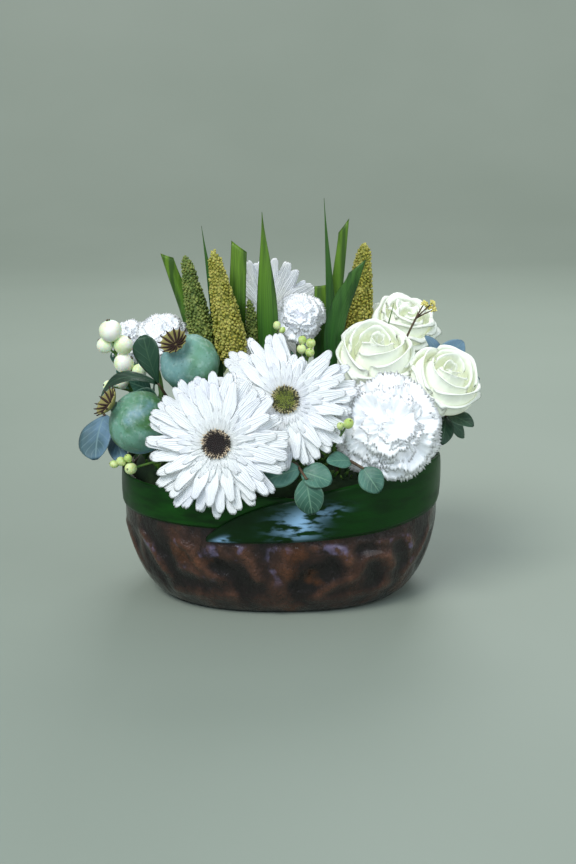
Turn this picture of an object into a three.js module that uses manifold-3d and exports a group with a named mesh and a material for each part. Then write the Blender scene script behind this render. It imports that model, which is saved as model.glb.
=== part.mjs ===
// A floral table centerpiece: white and cream blooms, poppy pods, millet spikes, leaf blades and
// foliage standing in floral foam, in a carved oval bowl that is wrapped in long green leaves.
// Millimetres, +Z up. The origin is the middle of the bowl's flat base, and the front faces -Y.
// Every bloom, pod or sprig is one closed solid whose stem stands in a plain hole in the foam.

import * as THREE from 'three';
import { mergeVertices } from 'three/addons/utils/BufferGeometryUtils.js';
import Module from 'manifold-3d';

const wasm = await Module();
wasm.setup();

// ---- Driving dimensions ----

const BOWL_HEIGHT = 88;
const BOWL_HALF_WIDTH = 110;
const BASE_HALF_WIDTH = 78;
const BELLY_HEIGHT = 57.5; // where the side turns upright
const BELLY_CURVE = 1.6; // how quickly the side swells above the base
const DEPTH_RATIO = 0.74; // front-to-back size of the oval over its width
const OVAL_POWER = 2.3; // 2 is a true ellipse, more is squarer
const WALL = 5;
const FLOOR = 6;
const CARVING_DEPTH = 2.4;
const CARVED_HEIGHTS = [5, 10, 17, 25, 33, 41, 49, BELLY_HEIGHT];
const CARVED_STEPS = 72; // finer steps around the carved part of the bowl
const GAP = 0.3; // clearance between pieces that touch
const STEM_BENDS = 4; // straight lengths that a bend in a stem is made of
const STEM_SIDES = 5;
const FOAM_TOP = 97;
const STEM_DEPTH = 28; // how far a stem stands in the foam
const STEM_LEAN = 0.0035; // lean of a stem for each millimetre it enters off centre
const LEAF_THICKNESS = 1.2;
const PETAL_THICKNESS = 1.1;
const AROUND = 48; // steps around the bowl, shared by the bowl, the foam and the wrapped leaves

const SURFACES = {
  bowl: { color: 0x3c241a, roughness: 0.35, metalness: 0 },
  foam: { color: 0x2f4a26, roughness: 0.95, metalness: 0 },
  wrap: { color: 0x17401c, roughness: 0.25, metalness: 0 },
  white: { color: 0xf4f5f7, roughness: 0.6, metalness: 0 },
  cream: { color: 0xf3f1d6, roughness: 0.55, metalness: 0 },
  darkEye: { color: 0x3a2418, roughness: 0.9, metalness: 0 },
  greenEye: { color: 0x6f7a35, roughness: 0.9, metalness: 0 },
  pod: { color: 0x6f9584, roughness: 0.6, metalness: 0 },
  crown: { color: 0x8a7748, roughness: 0.8, metalness: 0 },
  yellowGrain: { color: 0xa89a3c, roughness: 0.85, metalness: 0 },
  greenGrain: { color: 0x74864a, roughness: 0.85, metalness: 0 },
  blade: { color: 0x4f8a2c, roughness: 0.45, metalness: 0 },
  eucalyptus: { color: 0x4d6f62, roughness: 0.6, metalness: 0 },
  berry: { color: 0xf0f2ea, roughness: 0.4, metalness: 0 },
  bud: { color: 0xa9c765, roughness: 0.55, metalness: 0 },
  tuft: { color: 0xd9cf7a, roughness: 0.8, metalness: 0 },
};

// ---- Small helpers ----

const vec = (x, y, z) => new THREE.Vector3(x, y, z);
const mix = (a, b, t) => a + (b - a) * t;
const radians = THREE.MathUtils.degToRad;

function smooth(low, high, value) {
  return THREE.MathUtils.smoothstep(value, low, high);
}

const repeat = (count, make) => Array.from({ length: count }, (_, k) => make(k));

// A repeatable stream of random numbers from 0 to 1.
function randomStream(seed) {
  let state = seed * 7919 + 17;
  return () => {
    state = (state * 16807) % 2147483647;
    return state / 2147483647;
  };
}

// A direction from its turn to the right of the front and its height above level, in degrees.
function facing(turn, height) {
  const t = radians(turn);
  const h = radians(height);
  return vec(Math.sin(t) * Math.cos(h), -Math.cos(t) * Math.cos(h), Math.sin(h));
}

// ---- Closed solids and their joins ----

function geometryFrom(points, triangles) {
  const geometry = new THREE.BufferGeometry();
  const flat = points.flatMap((p) => [p.x, p.y, p.z]);
  geometry.setAttribute('position', new THREE.Float32BufferAttribute(flat, 3));
  geometry.setIndex(triangles.flat());
  return geometry;
}

function solidFrom(geometry) {
  const bare = geometry.clone();
  bare.deleteAttribute('normal');
  bare.deleteAttribute('uv');
  const merged = mergeVertices(bare, 1e-4);
  const mesh = new wasm.Mesh({
    numProp: 3,
    vertProperties: Float32Array.from(merged.attributes.position.array),
    triVerts: Uint32Array.from(merged.index.array),
  });
  return new wasm.Manifold(mesh);
}

const join = (solids) => solids.reduce((whole, next) => whole.add(next));

// The largest body of a solid: loose scraps go, and a sealed hollow is filled.
function mainBody(solid) {
  const bodies = solid.decompose();
  return bodies.reduce((best, next) => (next.volume() > best.volume() ? next : best));
}

function geometryOf(solid) {
  const mesh = mainBody(solid).getMesh();
  const geometry = new THREE.BufferGeometry();
  geometry.setAttribute('position', new THREE.BufferAttribute(mesh.vertProperties, 3));
  geometry.setIndex(new THREE.BufferAttribute(mesh.triVerts, 1));
  return geometry;
}

// A skin over rings of equal length. Each end closes on a point given for it. With
// knobbly = true every other point of the rings is raised, and no edge joins two raised points.
function loft(rings, start, end, knobbly = false) {
  const count = rings[0].length;
  const points = [...rings.flat(), start, end];
  const startIndex = points.length - 2;
  const endIndex = points.length - 1;
  const last = (rings.length - 1) * count;
  const triangles = [];
  for (let k = 0; k < count; k += 1) {
    const next = (k + 1) % count;
    triangles.push([startIndex, next, k]);
    triangles.push([endIndex, last + k, last + next]);
    for (let i = 0; i < rings.length - 1; i += 1) {
      const low = i * count;
      const high = low + count;
      if (knobbly && (i + k) % 2 === 0) {
        triangles.push([low + k, low + next, high + k], [low + next, high + next, high + k]);
      } else {
        triangles.push([low + k, low + next, high + next], [low + k, high + next, high + k]);
      }
    }
  }
  return geometryFrom(points, triangles);
}

// Triangles between two rows of indices, which may differ in length.
function zip(inner, outer) {
  const triangles = [];
  const innerSteps = inner.length - 1;
  const outerSteps = outer.length - 1;
  let i = 0;
  let j = 0;
  while (i < innerSteps || j < outerSteps) {
    if ((i + 1) / innerSteps <= (j + 1) / outerSteps) {
      triangles.push([inner[i], outer[j], inner[i + 1]]);
      i += 1;
    } else {
      triangles.push([inner[i], outer[j], outer[j + 1]]);
      j += 1;
    }
  }
  return triangles;
}

// The point at a share of the way along a row of points.
function pointOnRow(row, share) {
  const place = share * (row.length - 1);
  const low = Math.min(Math.floor(place), row.length - 1);
  const high = Math.min(low + 1, row.length - 1);
  return row[low].clone().lerp(row[high], place - low);
}

function sheetNormal(rows, i, j) {
  const share = j / (rows[i].length - 1);
  const before = pointOnRow(rows[Math.max(i - 1, 0)], share);
  const after = pointOnRow(rows[Math.min(i + 1, rows.length - 1)], share);
  const across = rows[i][j + 1].clone().sub(rows[i][j - 1]);
  return after.sub(before).cross(across).normalize();
}

// A thin leaf or petal from rows of points on its middle surface, root row first. It is thickest
// inside and thins to nothing at its sides and tip, and both faces have the same triangles. With
// open = true the root row keeps its thickness, for a layer that joins at its middle.
function sheetParts(rows, thickness, indexOf, points, open) {
  const lastRow = rows.length - 1;
  const front = [];
  const back = [];
  rows.forEach((row, i) => {
    front.push([]);
    back.push([]);
    row.forEach((here, j) => {
      const atSide = j === 0 || j === row.length - 1;
      const edge = atSide || i === lastRow || (i === 0 && !open);
      const known = indexOf(i, j);
      if (known !== null) {
        front[i].push(known);
        back[i].push(known);
      } else if (edge) {
        points.push(here);
        front[i].push(points.length - 1);
        back[i].push(points.length - 1);
      } else {
        const normal = sheetNormal(rows, i, j).multiplyScalar(thickness / 2);
        points.push(here.clone().add(normal));
        front[i].push(points.length - 1);
        points.push(here.clone().sub(normal));
        back[i].push(points.length - 1);
      }
    });
  });
  const triangles = [];
  for (let i = 0; i < lastRow; i += 1) {
    triangles.push(...zip(front[i], front[i + 1]));
    zip(back[i], back[i + 1]).forEach(([a, b, c]) => triangles.push([a, c, b]));
  }
  return { triangles, frontRoot: front[0], backRoot: back[0] };
}

function sheet(rows, thickness) {
  const points = [];
  const { triangles } = sheetParts(rows, thickness, () => null, points, false);
  return geometryFrom(points, triangles);
}

// Joins two rings of indices, which run the same way round +Z and may differ in length.
function band(lower, upper, points) {
  const angle = (index) => Math.atan2(points[index].y, points[index].x);
  const apart = (k) => {
    const turn = angle(upper[k]) - angle(lower[0]);
    return Math.abs(Math.atan2(Math.sin(turn), Math.cos(turn)));
  };
  const first = upper.reduce((best, _, k) => (apart(k) < apart(best) ? k : best), 0);
  const matched = upper.map((_, k) => upper[(first + k) % upper.length]);
  return zip([...lower, lower[0]], [...matched, matched[0]]).map(([a, b, c]) => [a, c, b]);
}

// Adds a ring of petals that share their root ring. A petal's last root point is the first of
// the next petal, where the slit between them starts. Returns the root ring's two sides.
function addPetals(petals, thickness, points, triangles) {
  const lastColumn = petals[0][0].length - 1;
  const valleys = petals.map((rows) => points.push(rows[0][0]) - 1);
  const lower = [];
  const upper = [];
  petals.forEach((rows, k) => {
    const known = (i, j) => {
      if (i !== 0) return null;
      if (j === 0) return valleys[k];
      return j === lastColumn ? valleys[(k + 1) % petals.length] : null;
    };
    const part = sheetParts(rows, thickness, known, points, true);
    triangles.push(...part.triangles);
    lower.push(...part.backRoot.slice(0, lastColumn));
    upper.push(...part.frontRoot.slice(0, lastColumn));
  });
  return { lower, upper };
}

// One skin over plain rings and layers of petals, from its base upward.
function headSkin(start, parts, end, thickness = PETAL_THICKNESS) {
  const points = [start];
  const triangles = [];
  let edge = null;
  const climbTo = (next) => {
    if (edge === null) {
      next.forEach((here, k) => triangles.push([0, next[(k + 1) % next.length], here]));
    } else {
      triangles.push(...band(edge, next, points));
    }
    edge = next;
  };
  parts.forEach(({ ring, petals }) => {
    if (petals) {
      const { lower, upper } = addPetals(petals, thickness, points, triangles);
      climbTo(lower);
      edge = upper;
    } else {
      climbTo(ring.map((point) => points.push(point) - 1));
    }
  });
  const last = points.push(end) - 1;
  edge.forEach((here, k) => triangles.push([last, here, edge[(k + 1) % edge.length]]));
  return geometryFrom(points, triangles);
}

function roundRing(radius, z, sides) {
  return repeat(sides, (k) => {
    const angle = (k / sides) * Math.PI * 2;
    return vec(Math.cos(angle) * radius, Math.sin(angle) * radius, z);
  });
}

// A path that passes through its stations in equal steps, so that an extrusion along it has one
// section at each of them.
class StationPath extends THREE.Curve {
  constructor(stations) {
    super();
    this.stations = stations;
  }

  getPointAt(share) {
    return pointOnRow(this.stations, share);
  }

  getTangentAt(share) {
    const last = this.stations.length - 1;
    const i = Math.round(share * last);
    const before = this.stations[Math.max(i - 1, 0)];
    return this.stations[Math.min(i + 1, last)].clone().sub(before).normalize();
  }
}

function circleShape(radius, sides) {
  return new THREE.Shape(roundRing(radius, 0, sides).map(({ x, y }) => new THREE.Vector2(x, y)));
}

function tube(stations, radius, sides) {
  return new THREE.ExtrudeGeometry(circleShape(radius, sides), {
    steps: stations.length - 1,
    extrudePath: new StationPath(stations),
    bevelEnabled: false,
  });
}

// A solid of revolution about +Z from [radius, height] pairs that start and end on the axis.
function turned(profile, sides) {
  const points = profile.map(([r, z]) => new THREE.Vector2(r, z));
  return new THREE.LatheGeometry(points, sides).rotateX(Math.PI / 2);
}

function ball(centre, radius, sides, stretch = 1) {
  const rows = sides > 6 ? 4 : 3;
  const profile = repeat(rows + 1, (i) => {
    const t = (i / rows) * Math.PI;
    return [i === 0 || i === rows ? 0 : Math.sin(t) * radius, -Math.cos(t) * radius * stretch];
  });
  return turned(profile, sides).translate(centre.x, centre.y, centre.z);
}

// ---- The oval of the bowl ----

function bowlHalfWidth(z) {
  const t = Math.min(z / BELLY_HEIGHT, 1);
  const swell = Math.sqrt(1 - (1 - t) ** BELLY_CURVE);
  return mix(BASE_HALF_WIDTH, BOWL_HALF_WIDTH, swell);
}

function ovalPoint(halfWidth, angle, z, outward = 0) {
  const power = 2 / OVAL_POWER;
  const c = Math.cos(angle);
  const s = Math.sin(angle);
  const x = (halfWidth + outward) * Math.sign(c) * Math.abs(c) ** power;
  const y = (halfWidth * DEPTH_RATIO + outward) * Math.sign(s) * Math.abs(s) ** power;
  return vec(x, y, z);
}

function ovalRing(halfWidth, z, outward = 0, steps = AROUND) {
  return repeat(steps, (k) => {
    const angle = (k / steps) * Math.PI * 2;
    const push = typeof outward === 'function' ? outward(angle, z) : outward;
    return ovalPoint(halfWidth, angle, z, push);
  });
}

// ---- The carved bowl ----

// Ridges and hollows of the carved leaf scrolls on one half of the bowl, repeated on the other
// half. The points of a line are [degrees round from the middle of the half, height]. A positive
// rise stands proud, and 1 is the full depth of the carving.
const STROKES = [
  { line: [[-0.5, 57], [-0.8, 8]], breadth: 4, rise: 0.6 },
  { line: [[-36, 57], [-31, 50], [-27, 40], [-22, 31]], breadth: 3.6, rise: 0.9 },
  { line: [[-38, 35], [-30, 33], [-26, 29]], breadth: 5, rise: 0.5 },
  { line: [[-43, 43], [-41, 35]], breadth: 6, rise: -0.85 },
  { line: [[-37, 25], [-28, 24]], breadth: 5.5, rise: -0.8 },
  { line: [[-16, 57], [-12, 54], [-8.5, 45], [-6, 30]], breadth: 3.4, rise: 0.85 },
  { line: [[-21, 50], [-15, 47]], breadth: 5, rise: 0.6 },
  { line: [[-18, 39], [-13, 32], [-11, 24]], breadth: 6, rise: -0.9 },
  { line: [[-58, 56], [-52, 46], [-47, 30]], breadth: 4, rise: 0.7 },
  { line: [[-57, 36], [-51, 22]], breadth: 5.5, rise: -0.7 },
  { line: [[-44, 14], [-28, 14], [-15, 17]], breadth: 4, rise: 0.45 },
  { line: [[-78, 54], [-71, 42], [-64, 24]], breadth: 4.5, rise: 0.5 },
  { line: [[-72, 52], [-65, 44]], breadth: 5, rise: -0.5 },
  { line: [[9, 57], [14, 55], [18, 50], [22, 42]], breadth: 4, rise: 0.9 },
  { line: [[5, 24], [9, 33], [16, 39]], breadth: 7, rise: -0.95 },
  { line: [[11, 16], [18, 26], [25, 30], [28, 36]], breadth: 4, rise: 0.75 },
  { line: [[28, 43], [34, 44], [39, 42], [43, 34]], breadth: 3.8, rise: 0.85 },
  { line: [[26, 50], [33, 50]], breadth: 4.5, rise: -0.6 },
  { line: [[32, 35], [37, 25]], breadth: 5.5, rise: -0.75 },
  { line: [[34, 54], [41, 57], [48, 55], [52, 45]], breadth: 3.8, rise: 0.75 },
  { line: [[44, 48], [49, 36]], breadth: 5, rise: -0.6 },
  { line: [[15, 13], [28, 15], [44, 19]], breadth: 4, rise: 0.45 },
  { line: [[66, 54], [60, 38], [53, 26]], breadth: 4.5, rise: 0.55 },
  { line: [[72, 44], [66, 28]], breadth: 6, rise: -0.6 },
  { line: [[90, 57], [90, 10]], breadth: 5, rise: 0.35 },
  { line: [[-90, 57], [-90, 10]], breadth: 5, rise: 0.35 },
];
const DEGREE_LENGTH = 1.7; // one degree round the belly

// How far a place is from a line of points.
function offLine(place, line) {
  return line.slice(1).reduce((nearest, end, i) => {
    const reach = new THREE.Vector2().subVectors(end, line[i]);
    const share = new THREE.Vector2().subVectors(place, line[i]).dot(reach) / reach.lengthSq();
    const spot = line[i].clone().addScaledVector(reach, Math.min(Math.max(share, 0), 1));
    return Math.min(nearest, spot.distanceTo(place));
  }, Infinity);
}

const onBelly = ([degrees, height]) => new THREE.Vector2(degrees * DEGREE_LENGTH, height);
const CARVED_LINES = STROKES.map(({ line, breadth, rise }) => {
  return { line: line.map(onBelly), breadth, rise };
});

// From -1 in a hollow to 1 on a ridge. It fades out at the base and below the wrapped leaves.
function carving(angle, z) {
  const fromFront = (THREE.MathUtils.radToDeg(angle) + 90) % 180;
  const degrees = fromFront > 90 ? fromFront - 180 : fromFront;
  const place = onBelly([degrees, z]);
  const proud = CARVED_LINES.reduce((sum, { line, breadth, rise }) => {
    return sum + rise * Math.exp(-((offLine(place, line) / breadth) ** 2));
  }, 0);
  const height = z / BELLY_HEIGHT;
  const fade = smooth(0.02, 0.16, height) * (1 - smooth(0.9, 1, height));
  return Math.min(Math.max(proud, -1), 1) * fade;
}

function bowl() {
  const relief = (angle, z) => carving(angle, z) * CARVING_DEPTH;
  const foot = [0, 1.5].map((z) => ovalRing(bowlHalfWidth(z), z));
  const carved = CARVED_HEIGHTS.map((z) => ovalRing(bowlHalfWidth(z), z, relief, CARVED_STEPS));
  const top = BOWL_HEIGHT - 1.5;
  const rim = [1.5, WALL - 1.5].map((inset) => ovalRing(BOWL_HALF_WIDTH, BOWL_HEIGHT, -inset));
  const inner = [top, BELLY_HEIGHT + FLOOR, 22, FLOOR].map((z) => {
    return ovalRing(bowlHalfWidth(z - FLOOR), z, -WALL);
  });
  const rings = [...foot, ...carved, ovalRing(BOWL_HALF_WIDTH, top), ...rim, ...inner];
  return headSkin(vec(0, 0, 0), rings.map((ring) => ({ ring })), vec(0, 0, FLOOR));
}

// ---- The foam and its stem holes ----

const stemHoles = [];

function foam() {
  const wallHeights = [FLOOR + GAP, 22 + GAP, BELLY_HEIGHT + FLOOR + GAP];
  const rings = wallHeights.map((z) => ovalRing(bowlHalfWidth(z - FLOOR - GAP), z, -WALL - GAP));
  const shoulder = [
    ovalRing(BOWL_HALF_WIDTH, FOAM_TOP - 8, -WALL - 2),
    ovalRing(BOWL_HALF_WIDTH, FOAM_TOP, -WALL - 9),
  ];
  const block = loft([...rings, ...shoulder], vec(0, 0, FLOOR + GAP), vec(0, 0, FOAM_TOP));
  return stemHoles.reduce((left, hole) => left.subtract(hole), solidFrom(block));
}

// Where a stem that enters the foam at [x, y] has its foot and its mouth.
function stemSeat([x, y]) {
  const lean = vec(x * STEM_LEAN, y * STEM_LEAN, 1).normalize();
  const mouth = vec(x, y, FOAM_TOP).addScaledVector(lean, 1);
  const foot = mouth.clone().addScaledVector(lean, -STEM_DEPTH);
  return { lean, mouth, foot };
}

function drillHole(entry, radius) {
  const { lean, foot } = stemSeat(entry);
  const sides = STEM_SIDES;
  const hole = (radius + GAP) / Math.cos(Math.PI / sides);
  const length = STEM_DEPTH + 12;
  const cutter = new THREE.CylinderGeometry(hole, hole, length, sides);
  const turn = new THREE.Quaternion().setFromUnitVectors(vec(0, 1, 0), lean);
  const middle = foot.clone().addScaledVector(lean, length / 2 - GAP);
  cutter.applyQuaternion(turn).translate(middle.x, middle.y, middle.z);
  stemHoles.push(solidFrom(cutter));
}

// Stations of a stem straight up out of its hole, then in one bend to the base of what it carries.
function stemStations(entry, base, axis, slack = 0.4) {
  const { lean, mouth, foot } = stemSeat(entry);
  const reach = mouth.distanceTo(base) * slack;
  const bend = new THREE.CubicBezierCurve3(
    mouth,
    mouth.clone().addScaledVector(lean, reach),
    base.clone().addScaledVector(axis, -reach),
    base,
  );
  return [foot, ...bend.getPoints(STEM_BENDS)];
}

// Stations of a twig out of its hole and through the points of its route.
function twigStations(entry, route, steps) {
  const { mouth, foot, lean } = stemSeat(entry);
  const straight = mouth.clone().addScaledVector(lean, 5);
  const free = new THREE.CatmullRomCurve3([mouth, straight, ...route.map((p) => vec(...p))]);
  return [foot, ...free.getPoints(steps)];
}

// ---- The scene graph ----

const centerpiece = new THREE.Group();
centerpiece.name = 'floral_table_centerpiece';

function addMesh(name, surface, solid, placement = null) {
  const material = new THREE.MeshStandardMaterial(SURFACES[surface]);
  const mesh = new THREE.Mesh(geometryOf(solid), material);
  mesh.name = name;
  if (placement) {
    mesh.position.copy(placement.position);
    mesh.quaternion.copy(placement.quaternion);
  }
  centerpiece.add(mesh);
}

// A bloom's own frame: its middle is at `at`, and its +Z looks along `look`.
function placementOf(at, look, roll = 0) {
  const quaternion = new THREE.Quaternion().setFromUnitVectors(vec(0, 0, 1), look);
  const spin = new THREE.Quaternion().setFromAxisAngle(vec(0, 0, 1), radians(roll));
  return { position: vec(...at), quaternion: quaternion.multiply(spin) };
}

// Adds a head, modelled in its own frame, with its stem. `baseDepth` is how far behind the
// head's middle its stem starts.
function addBloom({ name, surface, at, look, roll, entry, stem, slack }, head, baseDepth) {
  const axis = facing(...look);
  const placement = placementOf(at, axis, roll);
  const base = vec(...at).addScaledVector(axis, -baseDepth);
  const stations = stemStations(entry, base, axis, slack);
  const toHead = new THREE.Matrix4();
  toHead.compose(placement.position, placement.quaternion, vec(1, 1, 1)).invert();
  const stemInHead = solidFrom(tube(stations, stem, STEM_SIDES).applyMatrix4(toHead));
  drillHole(entry, stem);
  addMesh(name, surface, head.add(stemInHead), placement);
}

// ---- Gerberas ----

const GERBERA_DISC = 2.6; // height of the flat disc that the eye sits on

// A gerbera petal's width over the room it has, from its root to its tip.
const GERBERA_ROWS = [
  { share: 0, fill: 1, sides: [-1, 0, 1] },
  { share: 0.76, fill: 0.92, sides: [-1, 0, 1] },
  { share: 1, fill: 0.5, sides: [-1, 1] },
];

// A ring of narrow petals from `inner` to `outer` radius.
function gerberaLayer({ count, inner, outer, height, rise, seed, turn = 0 }) {
  const random = randomStream(seed);
  const spacing = (Math.PI * 2) / count;
  const lengths = repeat(count, () => 0.93 + 0.1 * random());
  const lifts = repeat(count, () => (random() - 0.5) * 1.2);
  const sways = repeat(count, () => (random() - 0.5) * 0.1);
  return repeat(count, (k) =>
    GERBERA_ROWS.map(({ share, fill, sides }, i) =>
      sides.map((side) => {
        const reach = mix(inner, outer * lengths[k], share);
        const sway = i > 0 ? sways[k] * share : 0;
        const angle = turn + spacing * (k + 0.5 + side * 0.5 * fill + sway);
        const arch = rise * share + 2.2 * share * (1 - share) + lifts[k] * share;
        return vec(Math.cos(angle) * reach, Math.sin(angle) * reach, height + arch);
      }),
    ),
  );
}

function gerberaHead({ radius, petals, seed }) {
  const inner = radius * 0.17;
  const back = { count: petals, outer: radius, height: -1.6, rise: -1.5 };
  const front = { count: petals - 4, outer: radius * 0.84, height: 1.3, rise: 1.6, turn: 0.07 };
  const parts = [
    { ring: roundRing(3.4, -11, 7) },
    { ring: roundRing(inner + 0.6, -5, 9) },
    { petals: gerberaLayer({ ...back, inner, seed }) },
    { petals: gerberaLayer({ ...front, inner, seed: seed + 1 }) },
    { ring: roundRing(inner - 0.4, GERBERA_DISC, 12) },
  ];
  return solidFrom(headSkin(vec(0, 0, -11), parts, vec(0, 0, GERBERA_DISC)));
}

// The eye is a low cushion of florets, which are small bumps all over it.
const EYE_PROFILE = [[1, GAP], [1.02, 1.6], [0.74, 3.2], [0.38, 3]];

function gerberaEye(radius) {
  const around = 12;
  const rings = EYE_PROFILE.map(([share, z], i) =>
    repeat(around, (k) => {
      const bump = i > 0 && (i + k) % 2 === 0 ? 0.7 : 0;
      const angle = (k / around) * Math.PI * 2;
      const reach = radius * share;
      return vec(Math.cos(angle) * reach, Math.sin(angle) * reach, GERBERA_DISC + z + bump);
    }),
  );
  const bottom = vec(0, 0, GERBERA_DISC + GAP);
  return solidFrom(loft(rings, bottom, vec(0, 0, GERBERA_DISC + 2.2), true));
}

const GERBERAS = [
  {
    name: 'gerbera_left', at: [-40, -98, 130], look: [-6, 14], roll: 0, radius: 47.5, petals: 20,
    seed: 3, entry: [-34, -46], stem: 3, eye: 'darkEye',
  },
  {
    name: 'gerbera_right', at: [3, -78, 153.5], look: [2, 20], roll: 7, radius: 46.5, petals: 19,
    seed: 8, entry: [3, -36], stem: 3, eye: 'greenEye',
  },
  {
    name: 'gerbera_back', at: [-8, 40, 189], look: [176, 8], roll: 3, radius: 41, petals: 15,
    seed: 5, entry: [-6, 26], stem: 2.8, eye: 'darkEye', slack: 0.3,
  },
];

function addGerberas() {
  GERBERAS.forEach((bloom) => {
    addBloom({ ...bloom, surface: 'white' }, gerberaHead(bloom), 10);
    const placement = placementOf(bloom.at, facing(...bloom.look), bloom.roll);
    addMesh(`${bloom.name}_eye`, bloom.eye, gerberaEye(bloom.radius * 0.2), placement);
  });
}

// ---- Carnations ----

// A ring of fan-shaped petals with toothed, waved edges, that rises at `lift` degrees.
function carnationLayer({ count, reach, root, height, lift, teeth, seed, waves }) {
  const random = randomStream(seed);
  const spacing = (Math.PI * 2) / count;
  const turn = random() * spacing;
  const tilts = repeat(count, () => (random() - 0.5) * 8);
  const place = (angle, slope, length, wave) => {
    const out = root + length * Math.cos(slope) - wave * Math.sin(slope);
    const up = length * Math.sin(slope) + wave * Math.cos(slope);
    return vec(Math.cos(angle) * out, Math.sin(angle) * out, height + up);
  };
  return repeat(count, (k) => {
    const slope = radians(lift + tilts[k]);
    const middle = turn + spacing * (k + 0.5);
    const half = spacing / 2;
    const rootRow = [-1, 0, 1].map((side) => place(middle + side * half, 0, 0, 0));
    const bellyRow = [-1, 0, 1].map((side) =>
      place(middle + side * half * 0.93, slope, (reach - root) * 0.62, side === 0 ? waves : -waves),
    );
    const tipRow = repeat(teeth + 1, (j) => {
      const side = (j / teeth) * 2 - 1;
      const tooth = (j % 2 === 0 ? -0.07 : 0.03) - 0.12 * side * side;
      const wave = (j % 2 === 0 ? -1 : 1) * waves;
      return place(middle + side * half * 0.93, slope, (reach - root) * (1 + tooth), wave);
    });
    return [rootRow, bellyRow, tipRow];
  });
}

const LARGE_CARNATION = [
  { count: 7, reach: 1, lift: -6, teeth: 6 },
  { count: 6, reach: 0.95, lift: 15, teeth: 6 },
  { count: 5, reach: 0.87, lift: 36, teeth: 6 },
  { count: 4, reach: 0.76, lift: 57, teeth: 6 },
  { count: 3, reach: 0.6, lift: 84, teeth: 4 },
];

const SMALL_CARNATION = [
  { count: 6, reach: 1, lift: -2, teeth: 6 },
  { count: 5, reach: 0.93, lift: 26, teeth: 4 },
  { count: 4, reach: 0.8, lift: 52, teeth: 4 },
  { count: 3, reach: 0.62, lift: 84, teeth: 4 },
];

function carnationHead({ radius, layers, seed }) {
  const rings = layers.map((layer, i) => ({
    petals: carnationLayer({
      ...layer,
      reach: layer.reach * radius,
      root: radius * (0.22 - 0.03 * i),
      height: radius * (-0.24 + 0.1 * i),
      seed: seed + i,
      waves: radius * 0.045,
    }),
  }));
  const calyx = [[0.12, -0.94], [0.2, -0.82], [0.22, -0.42]].map(([share, height]) => ({
    ring: roundRing(share * radius, height * radius, 6),
  }));
  const top = vec(0, 0, radius * (-0.08 + 0.1 * layers.length));
  return solidFrom(headSkin(vec(0, 0, -0.95 * radius), [...calyx, ...rings], top, 1));
}

const CARNATIONS = [
  {
    name: 'carnation_right', at: [73, -70, 135], look: [8, 24], radius: 34,
    layers: LARGE_CARNATION, seed: 11, entry: [60, -34],
  },
  {
    name: 'carnation_centre', at: [12.5, 2, 196], look: [0, 40], radius: 18,
    layers: SMALL_CARNATION, seed: 17, entry: [12, -3],
  },
  {
    name: 'carnation_left', at: [-84, 6, 180], look: [-15, 50], radius: 20,
    layers: SMALL_CARNATION, seed: 23, entry: [-64, 8],
  },
  {
    name: 'carnation_far_left', at: [-110, 24, 174], look: [-50, 35], radius: 16,
    layers: SMALL_CARNATION, seed: 29, entry: [-80, 18],
  },
  {
    name: 'carnation_back', at: [56, 66, 158], look: [160, 30], radius: 27,
    layers: SMALL_CARNATION, seed: 31, entry: [46, 42],
  },
];

function addCarnations() {
  CARNATIONS.forEach((bloom) => {
    const spec = { ...bloom, surface: 'white', roll: 0, stem: 2 };
    addBloom(spec, carnationHead(bloom), bloom.radius * 0.9);
  });
}

// ---- Roses ----

// A ring of cupped petals. Each climbs from the root ring, bellies out and turns its lip outward,
// and its two sides lie at slightly different radii, so that it laps over the next petal.
function roseLayer({ count, turn, root, foot, belly, top, lip, waves, size, seed }) {
  const random = randomStream(seed);
  const half = Math.PI / count;
  const climbs = [
    { z: foot, r: root, wide: 1, columns: 2, lap: 0 },
    { z: -0.14, r: belly, wide: 1.12, columns: 3, lap: 0.055 },
    { z: top * 0.7, r: belly * 1.02, wide: 1.12, columns: 3, lap: 0.055 },
    { z: top, r: belly + lip, wide: 0.66, columns: 3, lap: 0.04 },
  ];
  return repeat(count, (k) =>
    climbs.map(({ z, r, wide, columns, lap }, i) =>
      repeat(columns + 1, (j) => {
        const side = (j / columns) * 2 - 1;
        const angle = turn + half * (2 * k + 1 + side * wide);
        const wave = i > 1 ? (random() - 0.5) * waves : 0;
        const dip = i === 3 ? 0.1 * side * side : 0;
        const reach = (r + lap * side) * size;
        return vec(Math.cos(angle) * reach, Math.sin(angle) * reach, (z - dip + wave) * size);
      }),
    ),
  );
}

const ROSE_LAYERS = [
  { count: 5, root: 0.3, foot: -0.6, belly: 0.84, top: 0.14, lip: 0.18 },
  { count: 4, root: 0.22, foot: -0.55, belly: 0.66, top: 0.34, lip: 0.08 },
  { count: 3, root: 0.14, foot: -0.5, belly: 0.49, top: 0.46, lip: 0.02 },
];

function roseHead({ radius, seed, waves = 0.05, open = 0 }) {
  const layers = ROSE_LAYERS.map((layer, n) => ({
    petals: roseLayer({
      ...layer,
      turn: n * 0.9 + seed * 0.3,
      top: layer.top - open * 0.1 * (2 - n),
      lip: layer.lip + open * 0.06,
      waves,
      size: radius,
      seed: seed + n,
    }),
  }));
  const ringAt = ([r, z]) => ({ ring: roundRing(r * radius, z * radius, 7) });
  const hip = [[0.16, -0.94], [0.32, -0.76]].map(ringAt);
  const heart = [[0.28, -0.15], [0.31, 0.2], [0.2, 0.43]].map(ringAt);
  const parts = [...hip, ...layers, ...heart];
  return solidFrom(headSkin(vec(0, 0, -0.95 * radius), parts, vec(0, 0, 0.34 * radius)));
}

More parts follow.
